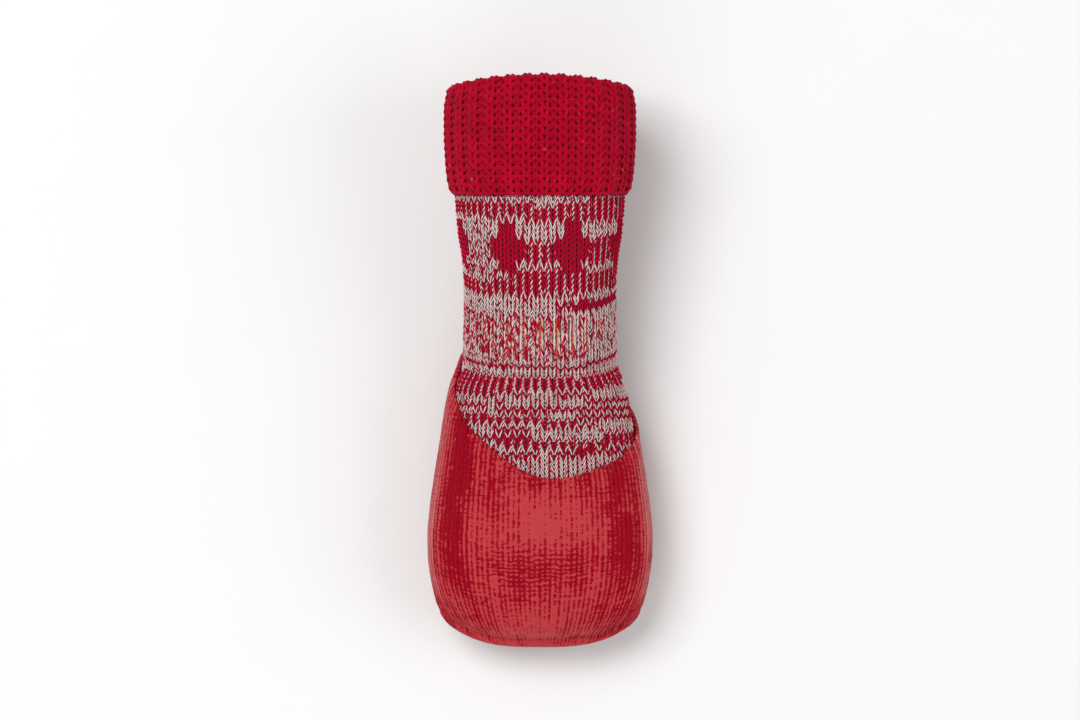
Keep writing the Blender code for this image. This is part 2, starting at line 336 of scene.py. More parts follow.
@dataclass(frozen=True)
class YarnFinish:
    """Spun yarn of two colours: the mesh says how much of the second shows at each place."""

    name: str
    red: Colour
    cream: Colour
    red_shades: tuple[float, float] = (0.66, 1.22)
    cream_shade: float = 0.62
    fleck: Colour = (0.52, 0.065, 0.010)
    fleck_share: float = 0.0
    fleck_edge: tuple[float, float] = (0.74, 0.80)
    # Painted shade: the share of its colour that the yarn keeps at its sides.
    painted_side_shade: float = 0.12
    front_edge: tuple[float, float] = (0.1, 0.88)
    winds_per_metre: float = 330.0
    fibres_per_metre: float = 520.0
    plies: int = 3
    grain_per_metre: float = 2400.0
    flecks_per_metre: float = 700.0
    cover: float = 3.2
    cover_grain: float = 0.9
    cover_edge: float = 0.25
    tone_grain: float = 0.8
    fibre_depth: float = 0.07 * MM
    fibre_share: float = 0.35
    roughness: float = 0.88
    shine: float = 0.04
    fuzz: float = 0.06
    fuzz_tint: Colour = (1.0, 0.62, 0.72)

    def make(self) -> MaterialData:
        """Builds the material.

        The second colour shows where the winding's cosine plus cover times (share - 1/2) stands over 0,
        with some grain. The yarn's sides are painted darker, as painted shade where it lies deep between
        its neighbours.

        Returns:
            The material.
        """
        made = Material(self.name)
        place = made.place()
        round_yarn, along = made.map_place("yarn")
        winding = made.times(made.total(round_yarn, made.times(along, self.winds_per_metre)), TAU)
        grain = made.noise(place, self.grain_per_metre, 3.0)
        cover = made.swing(made.attribute("share"), self.cover)
        seen = made.total(made.math("COSINE", winding), cover, made.swing(grain, self.cover_grain))
        mask = made.smooth(seen, -self.cover_edge, self.cover_edge)
        shade = made.total(made.attribute("tone"), made.swing(grain, self.tone_grain))
        low, high = (scaled(self.red, share) for share in self.red_shades)
        red = made.ramp(shade, {0.15: low, 0.85: high})
        cream = made.ramp(shade, {0.10: scaled(self.cream, self.cream_shade), 0.70: self.cream})
        colour = made.mix(mask, red, cream)
        if self.fleck_share:
            low, high = (edge - self.fleck_share for edge in self.fleck_edge)
            flecks = made.smooth(made.noise(place, self.flecks_per_metre, 1.0), low, high)
            colour = made.mix(flecks, colour, self.fleck)
        # Painted shade: the colour darkens from the yarn's front to its sides, where it lies deep between its
        # neighbours.
        front = made.smooth(made.math("COSINE", made.times(round_yarn, TAU)), *self.front_edge)
        colour = made.darken(colour, made.math("MULTIPLY_ADD", front, 1.0 - self.painted_side_shade, self.painted_side_shade))
        fibres = made.total(round_yarn, made.times(along, self.fibres_per_metre))
        strand = made.math("SINE", made.times(fibres, self.plies * TAU))
        height = made.total(made.times(strand, self.fibre_share), grain)
        return made.finish(
            colour, height, self.fibre_depth, Roughness=self.roughness, Specular_IOR_Level=self.shine,
            Sheen_Weight=self.fuzz, Sheen_Roughness=0.5, Sheen_Tint=(*self.fuzz_tint, 1.0),
        )


class Patches(NamedTuple):
    """Noise on the knit map: its cells to the column and to the course, its detail and its spread."""

    to_column: float
    to_course: float
    detail: float
    spread: float


@dataclass(frozen=True)
class RubberFinish:
    """Dipped rubber: salmon where the coat is thick, crimson where the knit shows through, with the thin
    crimson darkened further as painted shade in the grooves.

    The knit map gives columns and courses. Grooves are powers of raised cosines: on the columns' borders
    and middles, and on the courses' borders, which wave with the columns. The coat fills them up.
    """

    name: str = "dipped rubber"
    # Partly painted shade: crimson where the knit shows through, darkened so that the grooves read as shaded.
    thin: Colour = (0.285, 0.0002, 0.009)
    middle: Colour = (0.38, 0.006, 0.018)
    thick: Colour = (0.45, 0.041, 0.048)
    # Painted highlight: the pale of the sides' ridge tops, standing in for glancing light.
    pale: Colour = (0.53, 0.14, 0.14)
    coat_edge: tuple[float, float] = (0.26, 0.80)
    highlight_edge: tuple[float, float] = (0.95, 1.55)
    crest: float = 0.62
    border_groove: float = 0.80
    border_power: float = 5.0
    middle_groove: float = 0.70
    middle_power: float = 6.0
    row_groove: float = 0.10
    row_power: float = 3.0
    row_wave: float = 0.12
    grain_per_metre: float = 1500.0
    fine_per_metre: float = 4200.0
    wander_per_metre: float = 420.0
    wander: tuple[float, float] = (0.16, 0.7)
    sweep_per_metre: float = 110.0
    sweep: float = 3.0
    speck: float = 0.9
    highlight_speck: float = 0.6
    level_share: float = 0.8
    level_drop: float = 0.35
    blend: float = 0.25
    fine_share: float = 0.22
    grain_share: float = 0.2
    dashes: Patches = Patches(0.55, 1.7, 2.0, 1.7)
    beads: Patches = Patches(1.9, 1.1, 1.0, 1.3)
    streaks: Patches = Patches(2.2, 0.06, 1.0, 1.1)
    relief: float = 0.34 * MM
    roughness: float = 0.32
    shine: float = 0.05

    def make(self) -> MaterialData:
        """Builds the material from the mesh's fill, ripple and worn values and its knit map.

        The coat is the sum of the knit's crests less its grooves, the fill and three noises, and the
        relief is a smooth maximum of the knit and of the coat's own level.

        Returns:
            The material.
        """
        made = Material(self.name)
        place = made.place()
        column, course = made.map_place("knit")
        grain = made.noise(place, self.grain_per_metre, 3.0)
        fine = made.noise(place, self.fine_per_metre)
        wander = made.noise(place, self.wander_per_metre)
        sweep = made.swing(made.noise(place, self.sweep_per_metre), self.sweep)
        column_wander, course_wander = (made.swing(wander, spread) for spread in self.wander)
        column = made.total(column, column_wander)
        course = made.total(course, course_wander, sweep)
        across = made.math("COSINE", made.times(column, TAU))
        waved = made.times(made.math("MULTIPLY_ADD", across, self.row_wave, course), TAU)
        row = made.groove(made.math("COSINE", waved), self.row_power)
        ripple = made.total(made.attribute("ripple"), self.row_groove)
        border = made.groove(across, self.border_power)
        middle = made.groove(across, self.middle_power, -1.0)
        knit = made.math("MULTIPLY_ADD", border, -self.border_groove, self.crest)
        knit = made.math("SUBTRACT", knit, made.times(middle, self.middle_groove))
        knit = made.math("SUBTRACT", knit, made.times(row, ripple))
        level = made.attribute("fill")
        for patches in (self.dashes, self.beads, self.streaks):
            vector = made.pair(column, patches.to_column, course, patches.to_course)
            level = made.total(level, made.swing(made.noise(vector, 1.0, patches.detail), patches.spread))
        speck = made.swing(grain, self.speck)
        coat = made.smooth(made.total(knit, level, speck), *self.coat_edge)
        colour = made.ramp(coat, {0.10: self.thin, 0.5: self.middle, 0.95: self.thick})
        # Painted highlight: the ridge tops on the sides turn pale, standing in for glancing light.
        tops = made.total(knit, made.total(made.attribute("painted_highlight"), made.times(speck, self.highlight_speck)))
        colour = made.mix(made.smooth(tops, *self.highlight_edge), colour, self.pale)
        surface = made.math("MULTIPLY_ADD", level, self.level_share, -self.level_drop)
        filled = made.math("SMOOTH_MAX", knit, surface, self.blend)
        grained = made.math("MULTIPLY_ADD", fine, self.fine_share, made.times(grain, self.grain_share))
        height = made.total(filled, grained)
        return made.finish(
            colour, height, self.relief, Roughness=self.roughness, Specular_IOR_Level=self.shine
        )


@dataclass(frozen=True)
class GroundFinish:
    """The back of a knit: rows of purl bumps in dark reds, painted far darker than the yarn as painted shade
    in the holes between the stitches, and darker still in the bumps' troughs.
    """

    name: str
    dark: Colour
    light: Colour
    rows_per_metre: float = 780.0
    flecks_per_metre: float = 900.0
    wave: float = 1.1
    purl_share: float = 0.35
    depth: float = 0.25 * MM

    def make(self) -> MaterialData:
        """Builds the material from the mesh's knit map, in columns and metres.

        The bumps are the sine of the place along, in rows, plus a wave times the sine of the column.

        Returns:
            The material.
        """
        made = Material(self.name)
        column, along = made.map_place("knit")
        wave = made.times(made.math("SINE", made.times(column, TAU)), self.wave)
        purl = made.math("SINE", made.total(made.times(along, self.rows_per_metre * TAU), wave))
        flecks = made.noise(made.place(), self.flecks_per_metre)
        height = made.total(made.times(purl, self.purl_share), flecks)
        # Painted shade: the colour follows the bumps' height, darkest in their troughs.
        colour = made.ramp(height, {0.25: self.dark, 0.85: self.light})
        return made.finish(
            colour, height, self.depth, Roughness=0.95, Sheen_Weight=0.05, Sheen_Roughness=0.6,
            Specular_IOR_Level=0.1,
        )


@dataclass(frozen=True)
class FloorFinish:
    """A pale matt floor with a faint grain."""

    colour: Colour = (0.79, 0.79, 0.79)
    lighter: float = 1.02
    cells_per_metre: float = 40.0

    def make(self) -> MaterialData:
        """Builds the material: two pales along a noise."""
        made = Material("studio floor")
        grain = made.noise(made.place(), self.cells_per_metre)
        colour = made.ramp(grain, {0.0: self.colour, 1.0: scaled(self.colour, self.lighter)})
        return made.finish(colour, None, 0.0, Roughness=0.9, Specular_IOR_Level=0.1)


def put_mesh(
    name: str, points: Array, quads: Numbers, values: dict[str, Array] | None = None,
    maps: dict[str, Array] | None = None,
) -> bpy.types.Object:
    """Makes an object of quads at the origin.

    Args:
        name: the piece's name.
        points: its points, one row each. Those that no face uses are left out.
        quads: four point numbers to a face.
        values: numbers on the points, by attribute name.
        maps: map places on the faces' corners, by map name.

    Returns:
        The new object, smooth shaded.
    """
    used, quads = np.unique(quads, return_inverse=True)
    quads = quads.reshape(-1, 4)
    data = bpy.data.meshes.new(name)
    data.vertices.add(len(used))
    data.vertices.foreach_set("co", points[used].astype(np.float32).ravel())
    data.loops.add(quads.size)
    data.loops.foreach_set("vertex_index", quads.astype(np.int32).ravel())
    data.polygons.add(len(quads))
    data.polygons.foreach_set("loop_start", np.arange(0, quads.size, 4, dtype=np.int32))
    data.update(calc_edges=True)
    for attribute, numbers in (values or {}).items():
        layer = data.attributes.new(attribute, "FLOAT", "POINT")
        layer.data.foreach_set("value", numbers[used].astype(np.float32))
    for map_name, places in (maps or {}).items():
        layer = data.uv_layers.new(name=map_name)
        layer.data.foreach_set("uv", places.astype(np.float32).ravel())
    data.validate(clean_customdata=False)
    data.shade_smooth()
    thing = bpy.data.objects.new(name, data)
    bpy.context.scene.collection.objects.link(thing)
    return thing


def grid_quads(rows: int, columns: int, close_rows: bool = False) -> Numbers:
    """Faces of a grid whose columns close on themselves, with outward faces where rows run to +Y.

    Args:
        rows: rows of points.
        columns: points round each row.
        close_rows: whether the last row joins the first.

    Returns:
        Four point numbers to a face.
    """
    first = np.arange(rows if close_rows else rows - 1)[:, None]
    column = np.arange(columns)[None, :]
    after_row = (first + 1) % rows
    after = (column + 1) % columns
    round_face = ((first, column), (first, after), (after_row, after), (after_row, column))
    return np.stack([row * columns + place for row, place in round_face], axis=-1).reshape(-1, 4)


def grid_map(quads: Numbers, columns: int, across: float, along: Array) -> Array:
    """Map places on the corners of a closed grid: columns of stitches across, and what is given along.

    Args:
        quads: the grid's faces.
        columns: points round each row.
        across: map width of the whole way round.
        along: map height of each row, or of each point as rows and columns.

    Returns:
        Two numbers for each corner of each face.
    """
    height = along[quads // columns] if along.ndim == 1 else along.ravel()[quads]
    column = (quads % columns).astype(float)
    wraps = (column.max(axis=1) - column.min(axis=1)) > 1
    column[wraps] = np.where(column[wraps] == 0, columns, column[wraps])
    return np.stack([column / columns * across, height], axis=-1).reshape(-1, 2)


def close_ends(quads: Numbers, rows: int, columns: int) -> Numbers:
    """Closes a grid's first and last rows flat.

    Args:
        quads: the grid's faces.
        rows: rows of points.
        columns: points round each row, in fours.

    Returns:
        The faces, where each point of those rows' lower half is the one of the upper half over it.
    """
    row, column = quads // columns, quads % columns
    lower = (column > columns // 4) & (column < 3 * columns // 4)
    ends = (row == 0) | (row == rows - 1)
    return row * columns + np.where(lower & ends, (columns // 2 - column) % columns, column)


def loft(
    name: str, rings: Array, along: Array, across: float, values: dict[str, Array] | None = None,
    close_rows: bool = False,
) -> bpy.types.Object:
    """Makes an object of closed rings, with a knit map.

    Args:
        name: the piece's name.
        rings: points as rows, columns and coordinates.
        along: map height of each row, or of each point as rows and columns.
        across: map width of the whole way round.
        values: numbers on the points, by attribute name.
        close_rows: whether the last ring joins the first. Otherwise both are closed flat.

    Returns:
        The new object.
    """
    rows, columns = rings.shape[:2]
    quads = grid_quads(rows, columns, close_rows)
    maps = {"knit": grid_map(quads, columns, across, along)}
    if not close_rows:
        quads = close_ends(quads, rows, columns)
    return put_mesh(name, rings.reshape(-1, 3), quads, values, maps)


@dataclass(frozen=True)
class SockForm:
    """The sock's sizes and sections, the same as the solids have."""

    foot_length: float = 87.0 * MM
    foot_width: float = 65.8 * MM
    foot_height: float = 35.0 * MM
    leg_length: float = 49.5 * MM
    leg_width: float = 44.0 * MM
    leg_depth: float = 42.0 * MM
    leg_lean: float = 18.0
    cuff_lean: float = 5.0
    cuff_length: float = 34.5 * MM
    cuff_width: float = 54.8 * MM
    cuff_depth: float = 38.0 * MM
    knit_wall: float = 1.8 * MM
    rubber_wall: float = 1.2 * MM
    cuff_wall: float = 3.6 * MM
    cuff_foot: float = 0.3
    cuff_squareness: float = 2.15
    toe_bow: float = 8.6 * MM
    toe_corner: float = 3.1
    toe_corner_share: float = 0.44
    bow_settle: float = 0.62
    toe_settle: float = 0.34
    collar_bow: float = 4.0 * MM
    seam_reach: float = 2.0 * MM
    gap: float = 0.3 * MM
    slit: float = 0.15 * MM
    sole_share: float = 0.55
    ankle_share: float = 0.947
    toe_round: float = 5.985 * MM
    wales: int = 56
    course_height: float = 1.28 * MM

    # Sections of the foot over the rubber: share of foot_length, width, top and sole as shares of
    # foot_width and foot_height, tilt in degrees, squareness of the upper and of the lower half.
    foot: tuple[tuple[float, ...], ...] = (
        (0.000, 0.800, 0.530, 0.470, 0.0, 2.0, 2.0),
        (0.010, 0.868, 0.540, 0.460, 0.0, 2.0, 2.0),
        (0.023, 0.892, 0.550, 0.450, 0.0, 2.0, 2.0),
        (0.034, 0.893, 0.640, 0.352, 0.0, 2.2, 2.2),
        (0.055, 0.917, 0.728, 0.245, 0.0, 2.4, 2.5),
        (0.090, 0.938, 0.806, 0.142, 0.0, 2.6, 2.7),
        (0.135, 0.960, 0.872, 0.068, 0.0, 2.6, 2.9),
        (0.190, 0.979, 0.930, 0.020, 0.0, 2.6, 3.1),
        (0.260, 0.994, 0.972, -0.008, 0.0, 2.5, 3.2),
        (0.340, 0.997, 0.996, -0.018, 0.0, 2.5, 3.2),
        (0.450, 0.978, 1.004, -0.018, 0.0, 2.4, 3.2),
        (0.565, 0.940, 1.020, -0.018, 0.0, 2.3, 3.1),
        (0.690, 0.887, 1.075, -0.018, 1.0, 2.2, 2.9),
        (0.800, 0.842, 1.155, -0.016, 4.0, 2.1, 2.7),
        (0.880, 0.795, 1.215, -0.012, 8.0, 2.1, 2.5),
        (0.947, 0.725, 1.270, 0.050, 13.0, 2.0, 2.3),
    )
    # Sections of the leg over the knit: share of leg_length, shares of leg_width and leg_depth, and how
    # far the leg has turned, from 0 for leg_lean to 1 for cuff_lean.
    leg: tuple[tuple[float, ...], ...] = (
        (0.140, 1.012, 1.010, 0.0),
        (0.300, 1.000, 1.000, 0.0),
        (0.480, 1.000, 0.990, 0.1),
        (0.640, 1.026, 0.960, 0.4),
        (0.800, 1.082, 0.915, 0.7),
        (1.000, 1.115, 0.870, 1.0),
    )
    # Sections of the cuff: share of cuff_length, and swell from the leg's end to the cuff's full size.
    cuff: tuple[tuple[float, float], ...] = (
        (0.000, 0.22),
        (0.060, 0.52),
        (0.160, 0.74),
        (0.320, 0.89),
        (0.550, 1.00),
        (0.800, 0.98),
        (0.930, 0.74),
    )
    # Where the rubber ends, from the top by the right side, as shares of foot_length.
    rim: tuple[float, ...] = (0.562, 0.605, 0.735, 0.885, 0.980, 0.985, 0.930, 0.710)

    @property
    def coat(self) -> float:
        """How far the rubber's outside stands over the knit."""
        return self.gap + self.rubber_wall

    @property
    def ankle(self) -> float:
        """Distance of the ankle's section behind the toe."""
        return self.ankle_share * self.foot_length

    @property
    def leg_top(self) -> float:
        """Distance behind the toe where the cuff meets the leg."""
        return self.ankle + self.leg_length

    def leg_walk(self, along: Array) -> tuple[Array, Array, Array]:
        """Walks along the leg and the cuff.

        The centre moves by the cosine and sine of the lean at each step.

        Args:
            along: distances behind the ankle.

        Returns:
            The centre's Y and Z, and the lean in radians.
        """
        leg = np.array(self.leg).T
        fine = np.linspace(0, self.leg_length + self.cuff_length + self.cuff_wall, 400)
        turned = smooth_through(fine, leg[0] * self.leg_length, leg[3])
        lean = np.radians(self.leg_lean + (self.cuff_lean - self.leg_lean) * turned)
        step = np.diff(fine, prepend=0.0)
        ankle_z = (self.foot[-1][2] + self.foot[-1][3]) / 2 * self.foot_height
        y = self.ankle - self.sole_share * self.foot_length + np.cumsum(np.cos(lean) * step)
        z = ankle_z + np.cumsum(np.sin(lean) * step)
        return np.interp(along, fine, y), np.interp(along, fine, z), np.interp(along, fine, lean)

    def knit_sections(self, at: Array) -> dict[str, Array]:
        """Reads the knit's outside.

        Args:
            at: distances behind the toe.

        Returns:
            Centre, tilt, half sizes and squareness there, by name.
        """
        foot, leg = np.array(self.foot).T, np.array(self.leg).T
        y, z, lean = self.leg_walk(leg[0] * self.leg_length)
        round_leg = np.full(len(self.leg), 2.0)
        known_at = np.concatenate([foot[0] * self.foot_length, self.ankle + leg[0] * self.leg_length])
        foot_half = (foot[2] - foot[3]) / 2 * self.foot_height - self.coat
        known = {
            "y": ((foot[0] - self.sole_share) * self.foot_length, y),
            "z": ((foot[2] + foot[3]) / 2 * self.foot_height, z),
            "tilt": (np.radians(foot[4]), lean),
            "width": (foot[1] * self.foot_width / 2 - self.coat, leg[1] * self.leg_width / 2),
            "height": (foot_half, leg[2] * self.leg_depth / 2),
            "crown": (foot[5], round_leg),
            "tread": (foot[6], round_leg),
        }
        return {name: smooth_through(at, known_at, np.concatenate(parts)) for name, parts in known.items()}

    def place(self, sections: dict[str, Array], grow: float, columns: int) -> Array:
        """Puts rings of points round sections.

        A half section is a superellipse: across is width times sine to the power 2 / squareness, and up
        is height times cosine to that power. Points lie evenly along its length, and none is lower than
        the floor allows.

        Args:
            sections: centre, tilt, half sizes and squareness, by name.
            grow: distance added all round.
            columns: points round each ring.

        Returns:
            Points as rows, columns and coordinates.
        """
        angle = np.linspace(0, TAU, 721)
        across, up = np.sin(angle)[None], np.cos(angle)[None]
        power = 2 / np.where(up >= 0, sections["crown"][:, None], sections["tread"][:, None])
        half_width = (sections["width"] + grow)[:, None]
        half_height = np.maximum(sections["height"] + grow, self.slit)[:, None]
        x = half_width * np.sign(across) * np.abs(across) ** power
        rise = half_height * np.sign(up) * np.abs(up) ** power
        step = np.hypot(np.diff(x, axis=1), np.diff(rise, axis=1))
        length = np.concatenate([np.zeros((len(x), 1)), np.cumsum(step, axis=1)], axis=1)
        share = np.arange(columns) / columns
        x = np.stack([np.interp(share * run[-1], run, row) for run, row in zip(length, x)])
        rise = np.stack([np.interp(share * run[-1], run, row) for run, row in zip(length, rise)])
        y = sections["y"][:, None] - rise * np.sin(sections["tilt"])[:, None]
        z = sections["z"][:, None] + rise * np.cos(sections["tilt"])[:, None]
        return np.stack([x, y, np.maximum(z, self.coat - grow)], axis=-1)

    def sock_rings(self, grow: float, at: Array, columns: int, lip: bool = False) -> Array:
        """Rings on the surface that stands a distance over the knit, foot and leg.

        At the toe a ring's height is its section's times the root of 1 - (1 - u)², where u goes from 0
        to 1 over half the lip's reach, or over toe_round less the coat and more by grow, so that the
        toe closes round.

        Args:
            grow: the distance over the knit.
            at: distances behind the toe, which closes at 0 for the lip, or else at seam_reach.
            columns: points round each ring.
            lip: whether the surface has the toe seam's lip.

        Returns:
            Points as rows, columns and coordinates.
        """
        shape_start = 0.0 if lip else self.seam_reach
        start = shape_start + self.coat - grow
        shape_at = np.maximum(at, shape_start)
        settled = self.toe_settle * self.foot_length
        late = np.clip(1 - (shape_at - shape_start) / (settled - shape_start), 0, 1)
        sections = self.knit_sections(shape_at)
        sections["y"] = sections["y"] + (start - shape_start) * late
        rings = self.place(sections, grow, columns)
        round_over = self.seam_reach / 2 if lip else max(self.toe_round - self.coat + grow, self.slit)
        closing = np.sqrt(1 - (1 - np.clip((at - shape_start) / round_over, 0, 1)) ** 2)[:, None]
        centre = sections["z"][:, None]
        rings[:, :, 2] = centre + (rings[:, :, 2] - centre) * closing
        bow = self.toe_bow * np.clip(1 - shape_at / (self.bow_settle * self.foot_length), 0, 1) ** 2
        across = np.abs(rings[:, :, 0]) / (self.toe_corner_share * self.foot_width)
        rings[:, :, 1] += bow[:, None] * across**self.toe_corner
        return rings

    def rim_at(self, turn: Array) -> Array:
        """How far behind the toe the rubber ends, on a curve through the rim's points.

        Args:
            turn: turns round the section.

        Returns:
            Distances behind the toe.
        """
        points = np.array(self.rim) * self.foot_length
        place = (turn % 1.0) * len(points)
        k = np.floor(place).astype(int) % len(points)
        t = place - np.floor(place)
        before, near, far, after = (points[(k + j) % len(points)] for j in (-1, 0, 1, 2))
        curve = 2 * before - 5 * near + 4 * far - after + t * (3 * (near - far) + after - before)
        return near + 0.5 * t * (far - before + t * curve)

    def cuff_rings(self, columns: int) -> tuple[Array, Array]:
        """Rings all the way round the cuff's wall: up its outside, over its top edge and down inside.

        The outside swells from the leg's end, the top edge is half a circle across the wall, and each
        ring's sides lie further forward by the square of its place across.

        Args:
            columns: points round each ring.

        Returns:
            The distance along the wall of each ring, and the rings' points.
        """
        cuff = np.array(self.cuff).T
        end = self.knit_sections(np.array([self.leg_top]))
        straight = self.cuff_length - self.cuff_wall / 2
        up = np.linspace(self.gap, straight, 60)
        bend = np.linspace(0, math.pi, 24)[1:-1]
        height = np.concatenate([up, straight + self.cuff_wall / 2 * np.sin(bend), up[::-1]])
        thickening = smooth_through(
            up, np.array([0, self.cuff_foot * self.cuff_length, self.cuff_length]), np.array([0.0, 1.0, 1.0])
        )
        swell = smooth_through(up, cuff[0] * self.cuff_length, cuff[1])
        y, z, lean = self.leg_walk(self.leg_length + height)
        sections = {"y": y, "z": z, "tilt": lean}
        for name, full in (("width", self.cuff_width / 2), ("height", self.cuff_depth / 2)):
            outer = end[name] + (full - end[name]) * swell
            snug = end[name] - self.knit_wall
            inner = snug + (outer - self.cuff_wall - snug) * thickening
            fold = outer[-1] - self.cuff_wall / 2 * (1 - np.cos(bend))
            sections[name] = np.concatenate([outer, fold, inner[::-1]])
        for name in ("crown", "tread"):
            sections[name] = np.full(len(height), self.cuff_squareness)
        rings = self.place(sections, 0.0, columns)
        foot_y = self.leg_walk(np.array([self.leg_length]))[0]
        risen = np.clip((rings[:, :, 1] - foot_y) / self.cuff_length, 0, 1)
        rings[:, :, 1] -= self.collar_bow * risen**2 * (2 * rings[:, :, 0] / self.cuff_width) ** 2
        step = np.linalg.norm(np.diff(rings[:, 0], axis=0), axis=1)
        return np.concatenate([[0.0], np.cumsum(step)]), rings


@dataclass
class Skin:
    """A surface of closed rings that can be read anywhere, with its directions."""

    at: Array
    rings: Array
    table: Array = field(init=False)

    def __post_init__(self) -> None:
        """Works out the normal at each point: the way round crossed with the way along."""
        around = np.roll(self.rings, -1, axis=1) - np.roll(self.rings, 1, axis=1)
        along = np.gradient(self.rings, axis=0)
        self.table = np.concatenate([self.rings, unit(np.cross(around, along))], axis=-1)

    def read(self, at: Array, turn: Array) -> tuple[Array, Array]:
        """Reads the surface between its points, by blending the four nearest.

        Args:
            at: distances along the surface.
            turn: turns round it.

        Returns:
            The points and the outward normals.
        """
        columns = self.rings.shape[1]
        row = np.interp(at, self.at, np.arange(len(self.at)))
        i = np.clip(np.floor(row).astype(int), 0, len(self.at) - 2)
        place = (turn % 1.0) * columns
        j = np.floor(place).astype(int) % columns
        a, b = (row - i)[..., None], (place - np.floor(place))[..., None]
        after = (j + 1) % columns
        near = self.table[i, j] * (1 - b) + self.table[i, after] * b
        far = self.table[i + 1, j] * (1 - b) + self.table[i + 1, after] * b
        both = near * (1 - a) + far * a
        return both[..., :3], unit(both[..., 3:])


@dataclass(frozen=True)
class Loop:
    """The path of yarn through a column of plain knitting.

    Across one column the yarn's place is t + sway times sin 4πt + pinch times sin 2πt, its rise is minus
    half_rise times cos 2πt and its lift is minus depth times cos 4πt. So two legs stand forward in a V
    between the loop's foot and its head.
    """

    sway: float = 0.315
    pinch: float = 0.03
    half_rise: float = 1.2
    depth: float = 0.42 * MM
    sink: float = 0.60 * MM
    steps: int = 8

    def across(self, place: Array) -> Array:
        """Where the yarn lies, in columns."""
        t = place % 1.0
        return place + self.sway * np.sin(2 * TAU * t) + self.pinch * np.sin(TAU * t)

    def rise(self, place: Array) -> Array:
        """How far it stands above its course's middle, in courses."""
        return -self.half_rise * np.cos(TAU * place)

    def lift(self, place: Array) -> Array:
        """How far it stands out of the knit's face."""
        return -self.depth * np.cos(2 * TAU * place) - self.sink


@dataclass(frozen=True)
class Coil:
    """The path of a strand that winds up the border between two columns, with strokes that lean right.

    Over one course t goes from 0 to 1. The place across is minus lean times cos 2πt. The rise is
    t - reach + (2 reach - 1/2) sin² πt, from -reach to reach over the front half. The lift is depth times
    sin 2πt.
    """

    lean: float = 0.20
    reach: float = 0.64
    depth: float = 0.40 * MM
    sink: float = 0.74 * MM
    steps: int = 5
    half_width: float = 0.235 * MM
    half_depth: float = 0.25 * MM

    def across(self, t: Array) -> Array:
        """Where the strand lies, in columns."""
        return -self.lean * np.cos(TAU * t)

    def rise(self, t: Array) -> Array:
        """How far it stands above its course's middle, in courses."""
        return t - self.reach + (2 * self.reach - 0.5) * np.sin(math.pi * t) ** 2

    def lift(self, t: Array) -> Array:
        """How far it stands out of the knit's face."""
        return self.depth * np.sin(TAU * t) - self.sink


class Yarns(NamedTuple):
    """Yarns laid on a surface: their points, its normals there, the second colour's share, and the tone."""

    path: Array
    outward: Array
    share: Array
    tone: Array

    def chosen(self, rows: Flags | slice) -> Yarns:
        """Some of the yarns."""
        return Yarns(*(part[rows] for part in self))

    def make(self, name: str, half_width: float, half_depth: float, keep: Flags) -> bpy.types.Object:
        """Makes tubes of the yarns, each of whose last points is followed by the first.

        A section's point is the path plus half_depth times cos θ along the normal, made square to the
        yarn, plus half_width times sin θ along the direction across the yarn. Where a kept stretch ends,
        its section is filled.

        Args:
            name: the piece's name.
            half_width: half the yarn's size along the surface.
            half_depth: half its size across the surface.
            keep: which of the stretches that start at the points are made.

        Returns:
            The new object, with a yarn map of turns round the yarn and metres along it.
        """
        path = self.path
        yarns, steps, _ = path.shape
        ahead = unit(np.roll(path, -1, axis=1) - np.roll(path, 1, axis=1))
        across = unit(np.cross(ahead, self.outward))
        front = np.cross(across, ahead)
        angle = (np.arange(YARN_SIDES) / YARN_SIDES * TAU)[:, None]
        deep = half_depth * np.cos(angle) * front[:, :, None]
        wide = half_width * np.sin(angle) * across[:, :, None]
        points = path[:, :, None] + (deep + wide)
        yarn, step, side = np.indices((yarns, steps, YARN_SIDES))
        corners_on = ((0, 0), (0, 1), (1, 1), (1, 0))
        quads = np.stack([
            (yarn * steps + (step + ahead_on) % steps) * YARN_SIDES + (side + side_on) % YARN_SIDES
            for ahead_on, side_on in corners_on
        ], axis=-1)
        run = np.linalg.norm(np.roll(path, -1, axis=1) - path, axis=-1)
        length = np.concatenate([np.zeros((yarns, 1)), np.cumsum(run, axis=1)], axis=1)
        places = np.stack([
            np.stack([(side + side_on) / YARN_SIDES, length[yarn, step + ahead_on]], axis=-1)
            for ahead_on, side_on in corners_on
        ], axis=-2)
        before = np.roll(keep, 1, axis=1)
        first = (yarn * steps + step)[:, :, 0] * YARN_SIDES
        fan = np.array([[0, k + 2, k + 1, k] for k in range(1, YARN_SIDES - 2, 2)])
        starts = first[keep & ~before][:, None, None] + fan
        ends = first[before & ~keep][:, None, None] + fan[:, ::-1]
        caps = np.concatenate([starts, ends]).reshape(-1, 4)
        cap_places = np.stack([(caps % YARN_SIDES) / YARN_SIDES, np.zeros(caps.shape)], axis=-1)
        kept = keep[yarn, step]
        quads = np.concatenate([quads[kept], caps])
        places = np.concatenate([places[kept], cap_places]).reshape(-1, 2)
        values = {
            key: np.repeat(numbers[:, :, None], YARN_SIDES, axis=2).ravel()
            for key, numbers in (("share", self.share), ("tone", self.tone))
        }
        return put_mesh(name, points.reshape(-1, 3), quads, values, {"yarn": places})


def strays(rng: np.random.Generator, shape: tuple[int, int], usual: tuple[float, float]) -> Array:
    """How far points of yarns stray: random steps of two sizes, each averaged with its neighbours'.

    Args:
        rng: the seeded source of random values.
        shape: yarns and points.
        usual: the usual stray along the sock, in courses, and across it, in columns.

    Returns:
        The two strays at each point.
    """
    step = rng.normal(0, 1, (*shape, 2)) * np.array(usual)
    return (step + np.roll(step, 1, axis=1) + np.roll(step, -1, axis=1)) / math.sqrt(3)


class Show(NamedTuple):
    """How cream the left leg, the right leg and the border strand are, and how much that varies."""

    left: float
    right: float
    strand: float
    spread: float


